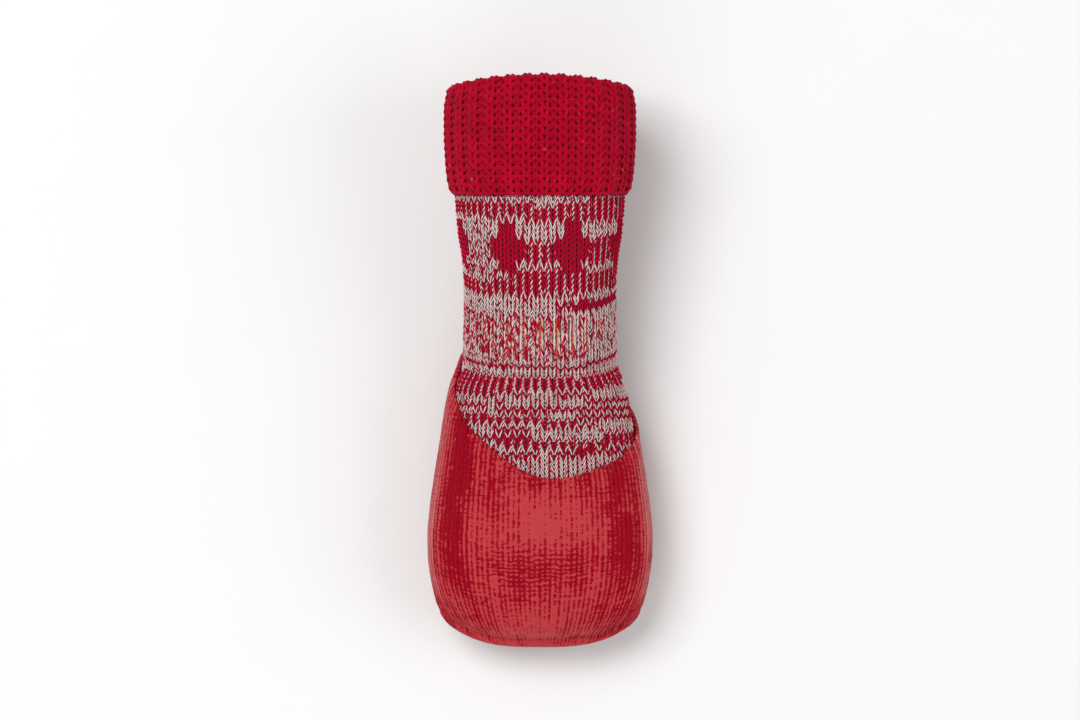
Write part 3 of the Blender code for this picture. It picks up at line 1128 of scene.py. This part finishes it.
class Style(Enum):
    """The looks that a band of courses may have."""

    RED = Show(0.0, 0.0, 0.0, 0.03)
    CREAM = Show(0.86, 0.86, 0.02, 0.17)
    ROW = Show(0.86, 0.86, 0.45, 0.20)
    LINES = Show(0.02, 0.02, 0.84, 0.14)
    BLOTCH = Show(0.78, 0.78, 0.6, 0.32)
    MOTTLE = Show(0.36, 0.40, 0.6, 0.36)
    ZIGZAG = Show(0.36, 0.56, 0.50, 0.26)
    WAVES = Show(0.80, 0.72, 0.25, 0.30)
    PALE = Show(0.80, 0.80, 0.75, 0.22)


# Where each band starts, in courses behind the toe, at the left, middle and right of the face and behind.
LEFT_BANDS = (
    (30.0, Style.CREAM), (46.2, Style.ROW), (47.0, Style.RED), (48.0, Style.CREAM), (50.5, Style.LINES),
    (54.0, Style.ROW), (55.2, Style.RED), (56.2, Style.CREAM), (58.2, Style.LINES), (63.4, Style.PALE),
    (66.0, Style.MOTTLE), (67.4, Style.BLOTCH), (69.4, Style.ZIGZAG), (77.4, Style.MOTTLE),
    (79.4, Style.PALE), (83.6, Style.LINES), (86.6, Style.ROW), (87.6, Style.MOTTLE), (89.2, Style.ROW),
    (90.2, Style.MOTTLE), (91.6, Style.ROW), (92.6, Style.MOTTLE), (94.0, Style.ROW), (95.0, Style.BLOTCH),
    (99.0, Style.LINES), (101.7, Style.ROW),
)
MIDDLE_BANDS = (
    (30.0, Style.CREAM), (42.6, Style.RED), (43.6, Style.ROW), (44.8, Style.LINES), (47.4, Style.ROW),
    (48.5, Style.RED), (49.4, Style.ROW), (50.4, Style.LINES), (52.4, Style.ROW), (53.6, Style.RED),
    (55.0, Style.CREAM), (57.6, Style.RED), (58.5, Style.ROW), (59.8, Style.LINES), (63.6, Style.CREAM),
    (66.4, Style.RED), (67.4, Style.ROW), (68.6, Style.ZIGZAG), (79.4, Style.ROW), (80.4, Style.RED),
    (81.2, Style.CREAM), (83.4, Style.LINES), (89.0, Style.ROW), (90.0, Style.LINES), (94.5, Style.CREAM),
    (98.4, Style.LINES), (101.7, Style.ROW),
)
RIGHT_BANDS = (
    (30.0, Style.CREAM), (43.8, Style.RED), (44.7, Style.ROW), (45.8, Style.LINES), (49.0, Style.CREAM),
    (51.8, Style.RED), (53.0, Style.ROW), (54.2, Style.RED), (55.0, Style.ROW), (55.8, Style.RED),
    (56.8, Style.CREAM), (60.5, Style.LINES), (64.0, Style.CREAM), (66.8, Style.RED), (67.8, Style.ROW),
    (69.4, Style.WAVES), (78.4, Style.ROW), (80.2, Style.RED), (82.2, Style.ROW), (83.4, Style.LINES),
    (88.4, Style.ROW), (89.4, Style.LINES), (94.6, Style.CREAM), (97.8, Style.LINES), (102.4, Style.MOTTLE),
)
BACK_BANDS = (
    (30.0, Style.LINES), (66.0, Style.BLOTCH), (69.0, Style.ZIGZAG), (77.0, Style.LINES), (80.3, Style.ROW),
    (81.4, Style.RED), (83.6, Style.ROW), (84.6, Style.RED), (86.4, Style.ROW), (87.4, Style.LINES),
    (89.6, Style.ROW), (90.6, Style.RED), (93.4, Style.CREAM), (96.4, Style.LINES), (102.0, Style.ROW),
)


@dataclass(frozen=True)
class Lozenges:
    """A row of plain red lozenges on the leg, a few columns apart."""

    centre: float = 93.0
    half_courses: float = 6.2
    half_wales: float = 2.1
    repeat: int = 8
    start: float = 4.0

    def inside(self, course: Array, wale: Array) -> Flags:
        """Whether a stitch lies in a lozenge: its shares of the two half sizes add up to less than 1."""
        off = (wale - self.start + self.repeat / 2) % self.repeat - self.repeat / 2
        return np.abs(course - self.centre) / self.half_courses + np.abs(off) / self.half_wales < 1


def dress(thing: bpy.types.Object, material: bpy.types.Material, slot: str, *nodes: str) -> None:
    """Gives a piece its finish and its body, and hides the nodes that it stands for."""
    thing.data.materials.append(material)
    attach(thing, ROOT)
    if nodes:
        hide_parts(*nodes)


@dataclass
class MarlKnit:
    """The leg and vamp: courses of loops, strands of the other colour between columns, and elastic."""

    form: SockForm
    skin: Skin = field(init=False)
    # Each yarn's sides are painted darker as painted shade, by the share that its finish gives.
    yarn: YarnFinish = YarnFinish("marl yarn", red=(0.47, 0.002, 0.028), cream=(0.76, 0.58, 0.565))
    elastic: YarnFinish = YarnFinish(
        "elastic", red=(0.78, 0.10, 0.012), cream=(0.8, 0.2, 0.05), painted_side_shade=0.5
    )
    loop: Loop = Loop()
    drawn_loop: Loop = Loop(0.265, 0.05, 1.5)
    coil: Coil = Coil()
    lozenges: Lozenges = Lozenges()
    first_course: int = 36
    split: int = 70
    drawn_zone: tuple[int, int] = (70, 79)
    skin_rows: int = 420
    skin_overrun: float = 3.0 * MM
    under_rubber: float = 2.5 * MM
    half_width: float = 0.235 * MM
    half_depth: float = 0.28 * MM
    edges: tuple[float, ...] = (-0.27, -0.075, 0.09, 0.25)
    edge_wander: float = 0.026
    drift: float = 0.35
    drift_cells: tuple[int, int] = (9, 12)
    loop_stray: tuple[float, float] = (0.04, 0.012)
    strand_stray: tuple[float, float] = (0.04, 0.015)
    tone_spread: float = 0.16
    elastic_depth: float = 0.44 * MM
    elastic_reach: float = 0.42 * MM
    elastic_rarity: float = 1.3
    seed: int = 11

    def __post_init__(self) -> None:
        """Reads the knit's outside, from the toe to a little past the leg's end."""
        at = np.linspace(0, self.form.leg_top + self.skin_overrun, self.skin_rows)
        self.skin = Skin(at, self.form.sock_rings(0.0, at, self.form.wales * 4))

    def chart(self, courses: Numbers, rng: np.random.Generator) -> tuple[Array, Array]:
        """Charts how much cream shows.

        Args:
            courses: the course numbers.
            rng: the seeded source of random values.

        Returns:
            The share at each course's two legs in turn, and at the border strand before each column.
        """
        size = (len(courses), self.form.wales)
        wale = np.arange(self.form.wales)
        course = courses[:, None] + 0.5 + self.drift * soft_noise(rng, size, self.drift_cells)
        turn = signed((wale + 0.5) / self.form.wales)
        sector = np.searchsorted(self.edges, turn + rng.normal(0, self.edge_wander, (len(courses), 1)))
        shares = np.zeros((*size, 4))
        for number, bands in enumerate((BACK_BANDS, LEFT_BANDS, MIDDLE_BANDS, RIGHT_BANDS, BACK_BANDS)):
            starts = np.array([start for start, _ in bands])
            looks = np.array([style.value for _, style in bands])
            found = looks[np.clip(np.searchsorted(starts, course) - 1, 0, len(bands) - 1)]
            shares = np.where((sector == number)[..., None], found, shares)
        plain = self.lozenges.inside(courses[:, None] + 0.5, wale + 0.5)
        shares[plain] = Style.RED.value
        legs = shares[..., :2] + shares[..., 3:] * rng.normal(0, 1, (*size, 2))
        strands = shares[..., 2] + shares[..., 3] * rng.normal(0, 1, size)
        strands = np.where(plain | np.roll(plain, 1, axis=1), 0.0, strands)
        return np.clip(legs, 0, 1).reshape(len(courses), -1), np.clip(strands, 0, 1)

    def loops(self, courses: Numbers, legs: Array, rng: np.random.Generator) -> Yarns:
        """Lays the courses, each a row of loops round the sock.

        Args:
            courses: the course numbers.
            legs: the cream's share at each course's legs.
            rng: the seeded source of random values.

        Returns:
            One yarn to a course.
        """
        steps, wales = self.loop.steps, self.form.wales
        place = np.arange(wales * steps) / steps
        stray = strays(rng, (len(courses), len(place)), self.loop_stray)
        low, high = self.drawn_zone
        drawn = ((courses >= low) & (courses < high))[:, None]
        across = np.where(drawn, self.drawn_loop.across(place), self.loop.across(place))
        rise = np.where(drawn, self.drawn_loop.rise(place), self.loop.rise(place))
        at = (courses[:, None] + 0.5 + rise + stray[..., 0]) * self.form.course_height
        point, outward = self.skin.read(at, (across + stray[..., 1]) / wales)
        path = point + outward * self.loop.lift(place)[:, None]
        tone = 0.5 + self.tone_spread * soft_noise(rng, at.shape, (len(courses), wales))
        return Yarns(path, outward, np.repeat(legs, steps // 2, axis=1), tone)

    def strands(self, courses: Numbers, shares: Array, rng: np.random.Generator) -> Yarns:
        """Lays the border strands, each a coil up the sock.

        Args:
            courses: the course numbers.
            shares: the cream's share at each course's borders.
            rng: the seeded source of random values.

        Returns:
            One yarn to a border.
        """
        coil, wales = self.coil, self.form.wales
        place = np.arange(len(courses) * coil.steps) / coil.steps
        t = place % 1.0
        stray = strays(rng, (wales, len(place)), self.strand_stray)
        at = (courses[0] + 0.5 + np.floor(place) + coil.rise(t) + stray[..., 0]) * self.form.course_height
        across = np.arange(wales)[:, None] + coil.across(t) + stray[..., 1]
        point, outward = self.skin.read(at, across / wales)
        path = point + outward * coil.lift(t)[:, None]
        tone = 0.5 + self.tone_spread * soft_noise(rng, at.shape, (wales, len(courses)))
        return Yarns(path, outward, np.repeat(shares.T, coil.steps, axis=1), tone)

    def uncovered(self, course: Array, turn: Array) -> Flags:
        """Whether places lie past the rubber's rim, less a hidden margin."""
        return course * self.form.course_height > self.form.rim_at(turn) - self.under_rubber

    def knit(self) -> list[bpy.types.Object]:
        """Knits the loops in two stretches, and the border strands.

        In the ankle's zone every second border is left free for the elastic.

        Returns:
            The vamp, the leg and the border strands.
        """
        rng = np.random.default_rng(self.seed)
        courses = np.arange(self.first_course, int(self.form.leg_top / self.form.course_height) + 1)
        legs, shares = self.chart(courses, rng)
        loops = self.loops(courses, legs, rng)
        borders = self.strands(courses, shares, rng)
        points = loops.share.shape[1]
        shown = self.uncovered(courses[:, None], np.arange(points) / points)
        made = [
            loops.chosen(rows).make(name, self.half_width, self.half_depth, shown[rows])
            for name, rows in (("marl_vamp", courses < self.split), ("marl_leg", courses >= self.split))
        ]
        course = courses[0] + np.arange(borders.share.shape[1]) / self.coil.steps
        wale = np.arange(self.form.wales)[:, None]
        low, high = self.drawn_zone
        elastic = (wale % 2 == 0) & (course >= low) & (course < high)
        shown = self.uncovered(course, wale / self.form.wales) & ~elastic
        shown[:, -1] = False
        made.append(borders.make("marl_borders", self.coil.half_width, self.coil.half_depth, shown))
        return made

    def lay_elastic(self) -> bpy.types.Object:
        """Lays the ankle's elastic in every second border, where it shows in flecks.

        It lies deeper than a strand by elastic_depth less elastic_reach times a random share, which is
        raised to a power so that most strokes lie deep.

        Returns:
            The new object.
        """
        rng = np.random.default_rng(self.seed + 1)
        courses = np.arange(*self.drawn_zone)
        yarns = self.strands(courses, np.zeros((len(courses), self.form.wales)), rng)
        showing = rng.uniform(0, 1, (self.form.wales, len(courses))) ** self.elastic_rarity
        raised = self.elastic_reach * np.repeat(showing, self.coil.steps, axis=1) - self.elastic_depth
        yarns = yarns._replace(path=yarns.path + yarns.outward * raised[..., None])
        shown = np.ones(yarns.share.shape, bool)
        shown[:, -1] = False
        every_second = slice(None, None, 2)
        return yarns.chosen(every_second).make(
            "ankle_elastic", self.coil.half_width, self.coil.half_depth, shown[every_second]
        )

    def make(self) -> list[bpy.types.Object]:
        """Knits and dresses the leg and vamp, and then the elastic.

        Returns:
            The pieces.
        """
        marl, made = self.yarn.make(), self.knit()
        for thing in made:
            dress(thing, marl, "marl_knit")
        elastic = self.elastic.make()
        made.append(self.lay_elastic())
        dress(made[-1], elastic, "marl_knit")
        return made


@dataclass
class KnitGround:
    """The knit's body between its yarns, and the lining that shows inside the sock."""

    form: SockForm
    # Painted shade: the ground and the lining inside the sock are painted very dark, for the holes and the
    # inside.
    finish: GroundFinish = GroundFinish("knit back", dark=(0.06, 0.002, 0.006), light=(0.20, 0.012, 0.02))
    outer_sink: float = 1.02 * MM
    tongue: float = 2.2 * MM
    rows: int = 90
    toe_crowd: float = 1.3

    def make(self) -> list[bpy.types.Object]:
        """Lofts and dresses the wall: from the toe to the leg's end, a tongue into the cuff, and back inside.

        The rows' distances are the share of the way to the power toe_crowd, so they are closer at the toe.

        Returns:
            The piece.
        """
        form = self.form
        columns = form.wales * 2
        share = np.linspace(0, 1, self.rows) ** self.toe_crowd
        at = form.seam_reach + (form.leg_top - form.seam_reach) * share
        outside = form.sock_rings(-self.outer_sink, at, columns)
        inside = form.sock_rings(-form.knit_wall, at, columns)[::-1]
        ahead = unit(outside[-1].mean(axis=0) - outside[-4].mean(axis=0))
        rings = np.concatenate([outside, outside[-1:] + ahead * self.tongue, inside])
        along = np.concatenate([at, at[-1:] + self.tongue, at[::-1]])
        thing = loft("knit_ground", rings, along, form.wales)
        dress(thing, self.finish.make(), "marl_knit", "knit_upper")
        return [thing]


@dataclass
class RibCuff:
    """The ribbed cuff: thick yarn over its outside, its rounded top edge and its inside.

    The columns are by turns a plain one, which stands out, and a purl one, which lies back with its loops
    turned round: the loop's lift and the rib's are both times cos π(place - 1/2).
    """

    form: SockForm
    # Its sides are painted darker as painted shade, though less dark than the marl yarn's.
    yarn: YarnFinish = YarnFinish(
        "crimson rib yarn", red=(0.40, 0.0008, 0.019), cream=(0.5, 0.0, 0.02), fleck_share=0.008,
        painted_side_shade=0.40,
    )
    # Painted shade: the rib's back is painted darker than its yarn, for the holes between the ribs.
    ground: GroundFinish = GroundFinish("rib back", dark=(0.17, 0.0, 0.008), light=(0.30, 0.001, 0.014))
    loop: Loop = Loop(0.31, 0.02, 0.70, 0.38 * MM, 0.72 * MM)
    course_height: float = 2.40 * MM
    first_course: float = 0.68
    half_width: float = 0.76 * MM
    half_depth: float = 0.64 * MM
    rib_lift: float = 0.24 * MM
    rib_widen: float = 0.06
    stray: tuple[float, float] = (0.035, 0.02)
    tone_spread: float = 0.18
    ground_sink: float = 1.15 * MM
    seed: int = 23

    def knit(self, skin: Skin) -> bpy.types.Object:
        """Knits the ribs over the whole wall.

        Args:
            skin: the cuff's surface, up its outside and down its inside.

        Returns:
            The loops of yarn.
        """
        loop, wales = self.loop, self.form.wales
        rng = np.random.default_rng(self.seed)
        courses = np.arange(int(skin.at[-1] / self.course_height))
        place = np.arange(wales * loop.steps) / loop.steps
        stray = strays(rng, (len(courses), len(place)), self.stray)
        across = loop.across(place) - self.rib_widen * np.cos(math.pi * place) + stray[..., 1]
        along = (courses[:, None] + self.first_course + loop.rise(place) + stray[..., 0]) * self.course_height
        point, outward = skin.read(along, across / wales)
        stand = np.cos(math.pi * (place - 0.5))
        lift = -loop.depth * stand * np.cos(2 * TAU * place) - loop.sink + self.rib_lift * stand
        tone = 0.5 + self.tone_spread * soft_noise(rng, along.shape, (len(courses), wales))
        yarns = Yarns(point + outward * lift[:, None], outward, np.zeros(tone.shape), tone)
        return yarns.make("cuff_knit", self.half_width, self.half_depth, np.ones(tone.shape, bool))

    def make(self) -> list[bpy.types.Object]:
        """Knits the cuff, lofts its ground inside the yarn, and dresses both.

        Returns:
            The pieces.
        """
        at, rings = self.form.cuff_rings(self.form.wales * 3)
        skin = Skin(at, rings)
        sunk = (rings - skin.table[..., 3:] * self.ground_sink)[::2]
        yarn, back = self.yarn.make(), self.ground.make()
        knit = self.knit(skin)
        ground = loft("cuff_ground", sunk, at[::2], self.form.wales, close_rows=True)
        dress(knit, yarn, "rib_knit", "rib_cuff")
        dress(ground, back, "rib_knit")
        return [knit, ground]


class Spot(NamedTuple):
    """A soft spot: its strength, its middle and width along the foot in mm, and those round it in turns."""

    strength: float
    along: float
    length: float
    side: float
    width: float

    def at(self, distance: Array, side: Array) -> Array:
        """What it adds: its strength times a bell along and a bell across."""
        bell = bump_at(distance, self.along, self.length)
        return self.strength * bell * bump_at(side, self.side, self.width)


class Stripe(NamedTuple):
    """A soft stripe along the foot: its strength, its middle and width round it, where it is off and full."""

    strength: float
    side: float
    width: float
    off: float
    full: float

    def at(self, distance: Array, side: Array) -> Array:
        """What it adds: its strength times a step along and a bell across."""
        step = smooth_step(distance, self.off, self.full)
        return self.strength * step * bump_at(side, self.side, self.width)


@dataclass
class RubberFoot:
    """The dipped rubber, with the knit's columns and courses pressed through it.

    Places for the coat are in mm behind the toe and in turns from the middle of the vamp, 0.5 under the
    sole. The fill is below 0 where the coat is thinnest and near 1 where it is smooth.
    """

    form: SockForm
    finish: RubberFinish = RubberFinish()
    points_per_wale: int = 6
    rows: int = 262
    inner_rows: int = 10
    skin_rows: int = 900
    toe_crowd: float = 1.06
    border_depth: float = 0.42 * MM
    middle_depth: float = 0.26 * MM
    row_depth: float = 0.24 * MM
    row_wave: float = 0.17
    row_shares: tuple[float, float] = (0.12, 0.70)
    filled_at: float = 1.05
    open_range: tuple[float, float] = (0.05, 1.2)
    scallop: float = 0.55 * MM
    lap: tuple[float, float] = (0.26, 0.17)
    taper: float = 4.5 * MM
    rim_stand: float = 0.42 * MM
    rim_round: float = 0.9 * MM
    rim_lip: float = 0.22 * MM
    lip_bell: tuple[float, float] = (1.2, math.sqrt(0.9))  # its place and width in mm
    rim_turn: float = 0.15 * MM
    toe_fade: tuple[float, float] = (0.2 * MM, 1.4 * MM)
    seed: int = 31

    # Noise in cells along and round: broad, patchy, in strands, and the wander of the two thin bands.
    noise_cells: tuple[tuple[int, int], ...] = ((7, 12), (18, 36), (5, 150), (9, 8))
    # A thick spot on the vamp and one at the toe, a thin vamp behind, thick and thin stripes on the sides.
    # The spots and the thick side stripe are thicker coat and also a painted highlight, where the top faces
    # the light and where the sides catch glancing light.
    fill_parts: tuple[Spot | Stripe, ...] = (
        Spot(0.55, 36.0, 9.0, 0.0, 0.080),
        Spot(0.40, 6.0, 4.5, 0.0, 0.060),
        Stripe(-0.14, 0.0, 0.080, 43.0, 48.0),
        Stripe(0.50, 0.208, 0.026, 3.0, 12.0),
        Stripe(-0.35, 0.37, 0.035, 8.0, 20.0),
        Stripe(-0.30, 0.37, 0.060, 14.0, 4.0),
    )
    # Where courses ripple the vamp and the sole, and where the sides' ridges are painted pale as a painted
    # highlight of glancing light, with its mean and the shares of the patches and strands.
    ripple_parts: tuple[Spot, ...] = (Spot(1.0, 22.5, 6.0, 0.0, 0.075), Spot(1.0, 60.0, 15.0, 0.5, 0.07))
    ripple_patch: float = 0.25
    highlight_side: Stripe = Stripe(1.0, 0.212, 0.032, 3.0, 12.0)
    highlight_noise: tuple[float, float, float] = (0.92, 0.25, 0.45)
    # Two thin bands that wander along the sides of the vamp, where the coat is thinner and darker as painted
    # shade at the turn from the top to the sides: strength, middle and width, the noise as above, and where
    # they start and end.
    bands: tuple[tuple[float, float, float], ...] = ((0.75, -0.152, 0.022), (0.60, 0.136, 0.018))
    band_noise: tuple[float, float, float] = (1.0, 0.7, 0.5)
    band_wander: float = 0.016
    band_start: tuple[float, float] = (8.0, 26.0)
    band_end: tuple[float, float] = (78.0, 62.0)
    # The fill's mean, and the shares of the three noises.
    mean_fill: float = 0.30
    fill_noise: tuple[float, float, float] = (0.14, 0.14, 0.22)
    # The thicker cap on top of the toe, and the thinner flanks.
    cap: float = 0.14
    cap_length: tuple[float, float] = (26.0, 12.0)
    cap_width: tuple[float, float] = (0.24, 0.16)
    flank: float = 0.14
    flank_start: tuple[float, float] = (0.10, 0.14)
    flank_end: tuple[float, float] = (0.24, 0.20)
    # The bead along the rim and the toe's edge: what it adds, and its length.
    rim_bead: tuple[float, float] = (0.55, 4.5)
    rim_sides: tuple[float, float] = (0.24, 0.36)
    toe_bead: tuple[float, float] = (0.5, 1.6)
    # The ripples over the toe's underside.
    toe_ripple_length: tuple[float, float] = (15.0, 10.0)
    toe_ripple_sides: tuple[float, float] = (0.33, 0.40)

    def fields(self, at: Array, turn: Array) -> tuple[Array, Array, Array]:
        """Works out how full the rubber lies over the foot, where courses ripple it and where it is worn.

        Each is a sum of noises, spots and stripes. At the rim and the toe's edge the fill grows by e to
        the minus distance over a length.

        Args:
            at: distances behind the toe.
            turn: turns round the foot, between -0.5 and 0.5.

        Returns:
            The fill, the ripples' strength from 0 to 1, and how strong the painted highlight on the ridges
            is, up to about 1.
        """
        rng = np.random.default_rng(self.seed)
        broad, patch, strands, wander = (soft_noise(rng, at.shape, cells) for cells in self.noise_cells)
        side, distance = np.abs(turn), at / MM
        fill = self.mean_fill + sum(part.at(distance, side) for part in self.fill_parts)
        for share, noise in zip(self.fill_noise, (broad, patch, strands)):
            fill += share * noise
        fill += self.cap * smooth_step(distance, *self.cap_length) * smooth_step(side, *self.cap_width)
        fill -= self.flank * smooth_step(side, *self.flank_start) * smooth_step(side, *self.flank_end)
        wandered = turn + self.band_wander * wander
        band = sum(strength * bump_at(wandered, place, width) for strength, place, width in self.bands)
        mean, in_patches, in_strands = self.band_noise
        band *= mean + in_patches * patch + in_strands * strands
        fill -= band * smooth_step(distance, *self.band_start) * smooth_step(distance, *self.band_end)
        strength, length = self.rim_bead
        rim_near = np.clip((self.form.rim_at(turn) - at) / MM, 0, None)
        fill += strength * np.exp(-rim_near / length) * smooth_step(side, *self.rim_sides)
        strength, length = self.toe_bead
        fill += strength * np.exp(-distance / length)
        ripple = sum(part.at(distance, side) for part in self.ripple_parts)
        ripple += smooth_step(distance, *self.toe_ripple_length) * smooth_step(side, *self.toe_ripple_sides)
        ripple = np.clip(ripple + self.ripple_patch * np.maximum(0, patch), 0, 1)
        # Painted highlight on the sides' ridges.
        mean, in_patches, in_strands = self.highlight_noise
        painted_highlight = self.highlight_side.at(distance, side) * (mean + in_patches * patch + in_strands * strands)
        return fill, ripple, painted_highlight

    def relief(self, at: Array, turn: Array, fill: Array, ripple: Array) -> Array:
        """Presses the grooves in, as the finish shows them, and less where the rubber fills them.

        Grooves are ((1 ± cos 2π column) / 2)⁴ at the columns' borders and middles, and ((1 + cos) / 2)²
        at the courses' borders, whose place waves with the columns.

        Args:
            at: distances behind the toe.
            turn: turns round the foot.
            fill: how full the rubber lies.
            ripple: how much the courses ripple it.

        Returns:
            How far the outside stands out there, at most 0.
        """
        across = np.cos(TAU * turn * self.form.wales)
        border, centre = ((0.5 + sign * across) ** 4 for sign in (0.5, -0.5))
        row = (0.5 + 0.5 * np.cos(TAU * (at / self.form.course_height + self.row_wave * across))) ** 2
        open_share = np.clip(self.filled_at - fill, *self.open_range)
        depth = self.border_depth * border + self.middle_depth * centre * open_share
        everywhere, rippled = self.row_shares
        return -open_share * depth - self.row_depth * row * (everywhere * open_share + rippled * ripple)

    def stand(self, to_rim: Array, lapping: Array) -> Array:
        """How far the rim's form stands over the full coat.

        Over the vamp the coat thins towards a rim that laps between the columns. Elsewhere it keeps its
        thickness and ends in a rounded lip: a bell, less half the wall times 1 - root of 1 - (1 - u)².

        Args:
            to_rim: distances to the rim.
            lapping: how much each column laps, from 0 to 1.

        Returns:
            The stand, below 0 where the coat is thinner.
        """
        edge = np.clip(to_rim / self.rim_round, 0, 1)
        rounding = self.form.rubber_wall / 2 * (1 - np.sqrt(1 - (1 - edge) ** 2))
        lip = self.rim_lip * bump_at(to_rim / MM, *self.lip_bell)
        thinned = (self.form.coat - self.rim_stand) * smooth_step(to_rim, self.taper, 0.0)
        return (lip - rounding) * (1 - lapping) - thinned * lapping

    def make(self) -> list[bpy.types.Object]:
        """Lofts and dresses the rubber: its outside with relief, its rounded rim and its inside.

        Returns:
            The piece.
        """
        form = self.form
        columns = form.wales * self.points_per_wale
        turn = np.arange(columns) / columns
        lapping = smooth_step(np.abs(signed(turn)), *self.lap)
        rim = form.rim_at(turn) + self.scallop * lapping * (0.5 - 0.5 * np.cos(TAU * turn * form.wales))
        fine = np.linspace(0, form.leg_top, self.skin_rows)
        outer = Skin(fine, form.sock_rings(form.coat, fine, columns, lip=True))
        inner = Skin(fine, form.sock_rings(form.gap, fine, columns))
        at = rim * np.linspace(0, 1, self.rows)[:, None] ** self.toe_crowd
        turns = np.broadcast_to(turn, at.shape)
        fill, ripple, painted_highlight = self.fields(at, signed(turns))
        point, outward = outer.read(at, turns)
        fade = smooth_step(at, *self.toe_fade) * np.clip((rim - at) / self.rim_round, 0, 1)
        stand = self.relief(at, turns, fill, ripple) * fade + self.stand(rim - at, lapping)
        outside = point + outward * stand[..., None]
        outside[..., 2] = np.maximum(outside[..., 2], 0.0)
        back = np.linspace(1, 0, self.inner_rows)[:, None]
        inner_at = form.seam_reach + (rim - self.rim_turn - form.seam_reach) * back
        inside, _ = inner.read(inner_at, turns[: self.inner_rows])
        values = {
            name: np.concatenate([numbers, np.full(inner_at.shape, rest)]).ravel()
            for name, numbers, rest in (("fill", fill, 0.5), ("ripple", ripple, 0.0), ("painted_highlight", painted_highlight, 0.0))
        }
        along = np.concatenate([at, inner_at]) / form.course_height
        thing = loft("rubber_dip", np.concatenate([outside, inside]), along, form.wales, values)
        dress(thing, self.finish.make(), "dip_rubber", "rubber_sole")
        return [thing]


class Lamp(NamedTuple):
    """A square soft light: its place from the sock's middle in metres, its size and its power."""

    name: str
    place: tuple[float, float, float]
    size: float
    power: float

    def hang(self, aim: Vector) -> None:
        """Hangs the light.

        Args:
            aim: the sock's middle, which the light is turned to.
        """
        data = bpy.data.lights.new(self.name, "AREA")
        data.size = self.size
        data.energy = self.power
        thing = bpy.data.objects.new(self.name, data)
        thing.location = aim + Vector(self.place)
        thing.rotation_euler = (aim - thing.location).to_track_quat("-Z", "Y").to_euler()
        bpy.context.scene.collection.objects.link(thing)


@dataclass(frozen=True)
class Studio:
    """The floor, the lights and the camera. The camera looks along the photograph's line."""

    azimuth: float = 0.0
    elevation: float = 88.0
    lens: float = 135.0
    sensor: float = 36.0
    image: tuple[int, int] = (1080, 720)
    fill: float = 0.80
    floor_half: float = 3.0
    floor_points: int = 13
    lamps: tuple[Lamp, ...] = (
        Lamp("key", (-0.45, 0.35, 1.15), 0.7, 11.5),
        Lamp("fill_right", (0.95, -0.15, 0.75), 0.9, 4.5),
        Lamp("fill_front", (-0.3, -1.0, 0.6), 0.9, 3.5),
    )
    sky: Colour = (1.0, 0.99, 0.98)
    sky_strength: float = 0.42

    def floor(self) -> None:
        """Lays the floor, a flat grid."""
        side = np.linspace(-self.floor_half, self.floor_half, self.floor_points)
        x, y = np.meshgrid(side, side, indexing="ij")
        points = np.stack([x, y, np.zeros_like(x)], axis=-1).reshape(-1, 3)
        number = np.arange(x.size).reshape(x.shape)
        quads = np.stack([number[:-1, :-1], number[1:, :-1], number[1:, 1:], number[:-1, 1:]], axis=-1)
        thing = put_mesh("floor", points, quads.reshape(-1, 4))
        thing.data.materials.append(FloorFinish().make())
        thing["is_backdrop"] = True

    def lights(self, aim: Vector) -> None:
        """Hangs a key above the left of the leg, fills at the right and before the toe, and a pale sky.

        Args:
            aim: the sock's middle.
        """
        for lamp in self.lamps:
            lamp.hang(aim)
        bpy.context.scene.view_settings.view_transform = "Standard"
        world = bpy.data.worlds.new("studio")
        world.use_nodes = True
        background = world.node_tree.nodes["Background"]
        background.inputs["Color"].default_value = (*self.sky, 1.0)
        background.inputs["Strength"].default_value = self.sky_strength
        bpy.context.scene.world = world

    def camera(self, low: Vector, high: Vector) -> None:
        """Sets the camera over the sock, so that its length fills its share of the picture's height.

        Args:
            low: the lower corner of the sock's box.
            high: its upper corner.
        """
        data = bpy.data.cameras.new("camera")
        data.lens = self.lens
        data.sensor_width = self.sensor
        data.clip_end = 20.0
        azimuth, elevation = math.radians(self.azimuth), math.radians(self.elevation)
        level = math.cos(elevation)
        back = Vector((-math.sin(azimuth) * level, -math.cos(azimuth) * level, math.sin(elevation)))
        view_height = (high.y - low.y) / self.fill
        distance = view_height * self.lens / (self.sensor * self.image[1] / self.image[0])
        thing = bpy.data.objects.new("camera", data)
        thing.location = (low + high) / 2 + back * distance
        thing.rotation_euler = (math.radians(90.0) - elevation, 0.0, -azimuth)
        bpy.context.scene.collection.objects.link(thing)
        bpy.context.scene.camera = thing


def corners(bounds: Iterable[Iterable[float]]) -> list[list[float]]:
    """A box's two corners as plain lists."""
    return [[float(value) for value in corner] for corner in bounds]


def main() -> None:
    """Builds the sock and its studio."""
    logging.basicConfig(level=logging.INFO, format="%(message)s")
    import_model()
    cad_box = corners(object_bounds())
    form = SockForm()
    for part in (MarlKnit(form), KnitGround(form), RibCuff(form), RubberFoot(form)):
        for thing in part.make():
            LOG.info("%s: %d faces", thing.name, len(thing.data.polygons))
    low, high = (Vector(corner) for corner in cad_box)
    studio = Studio()
    studio.floor()
    studio.lights((low + high) / 2)
    studio.camera(low, high)


if __name__ == "__main__":
    main()
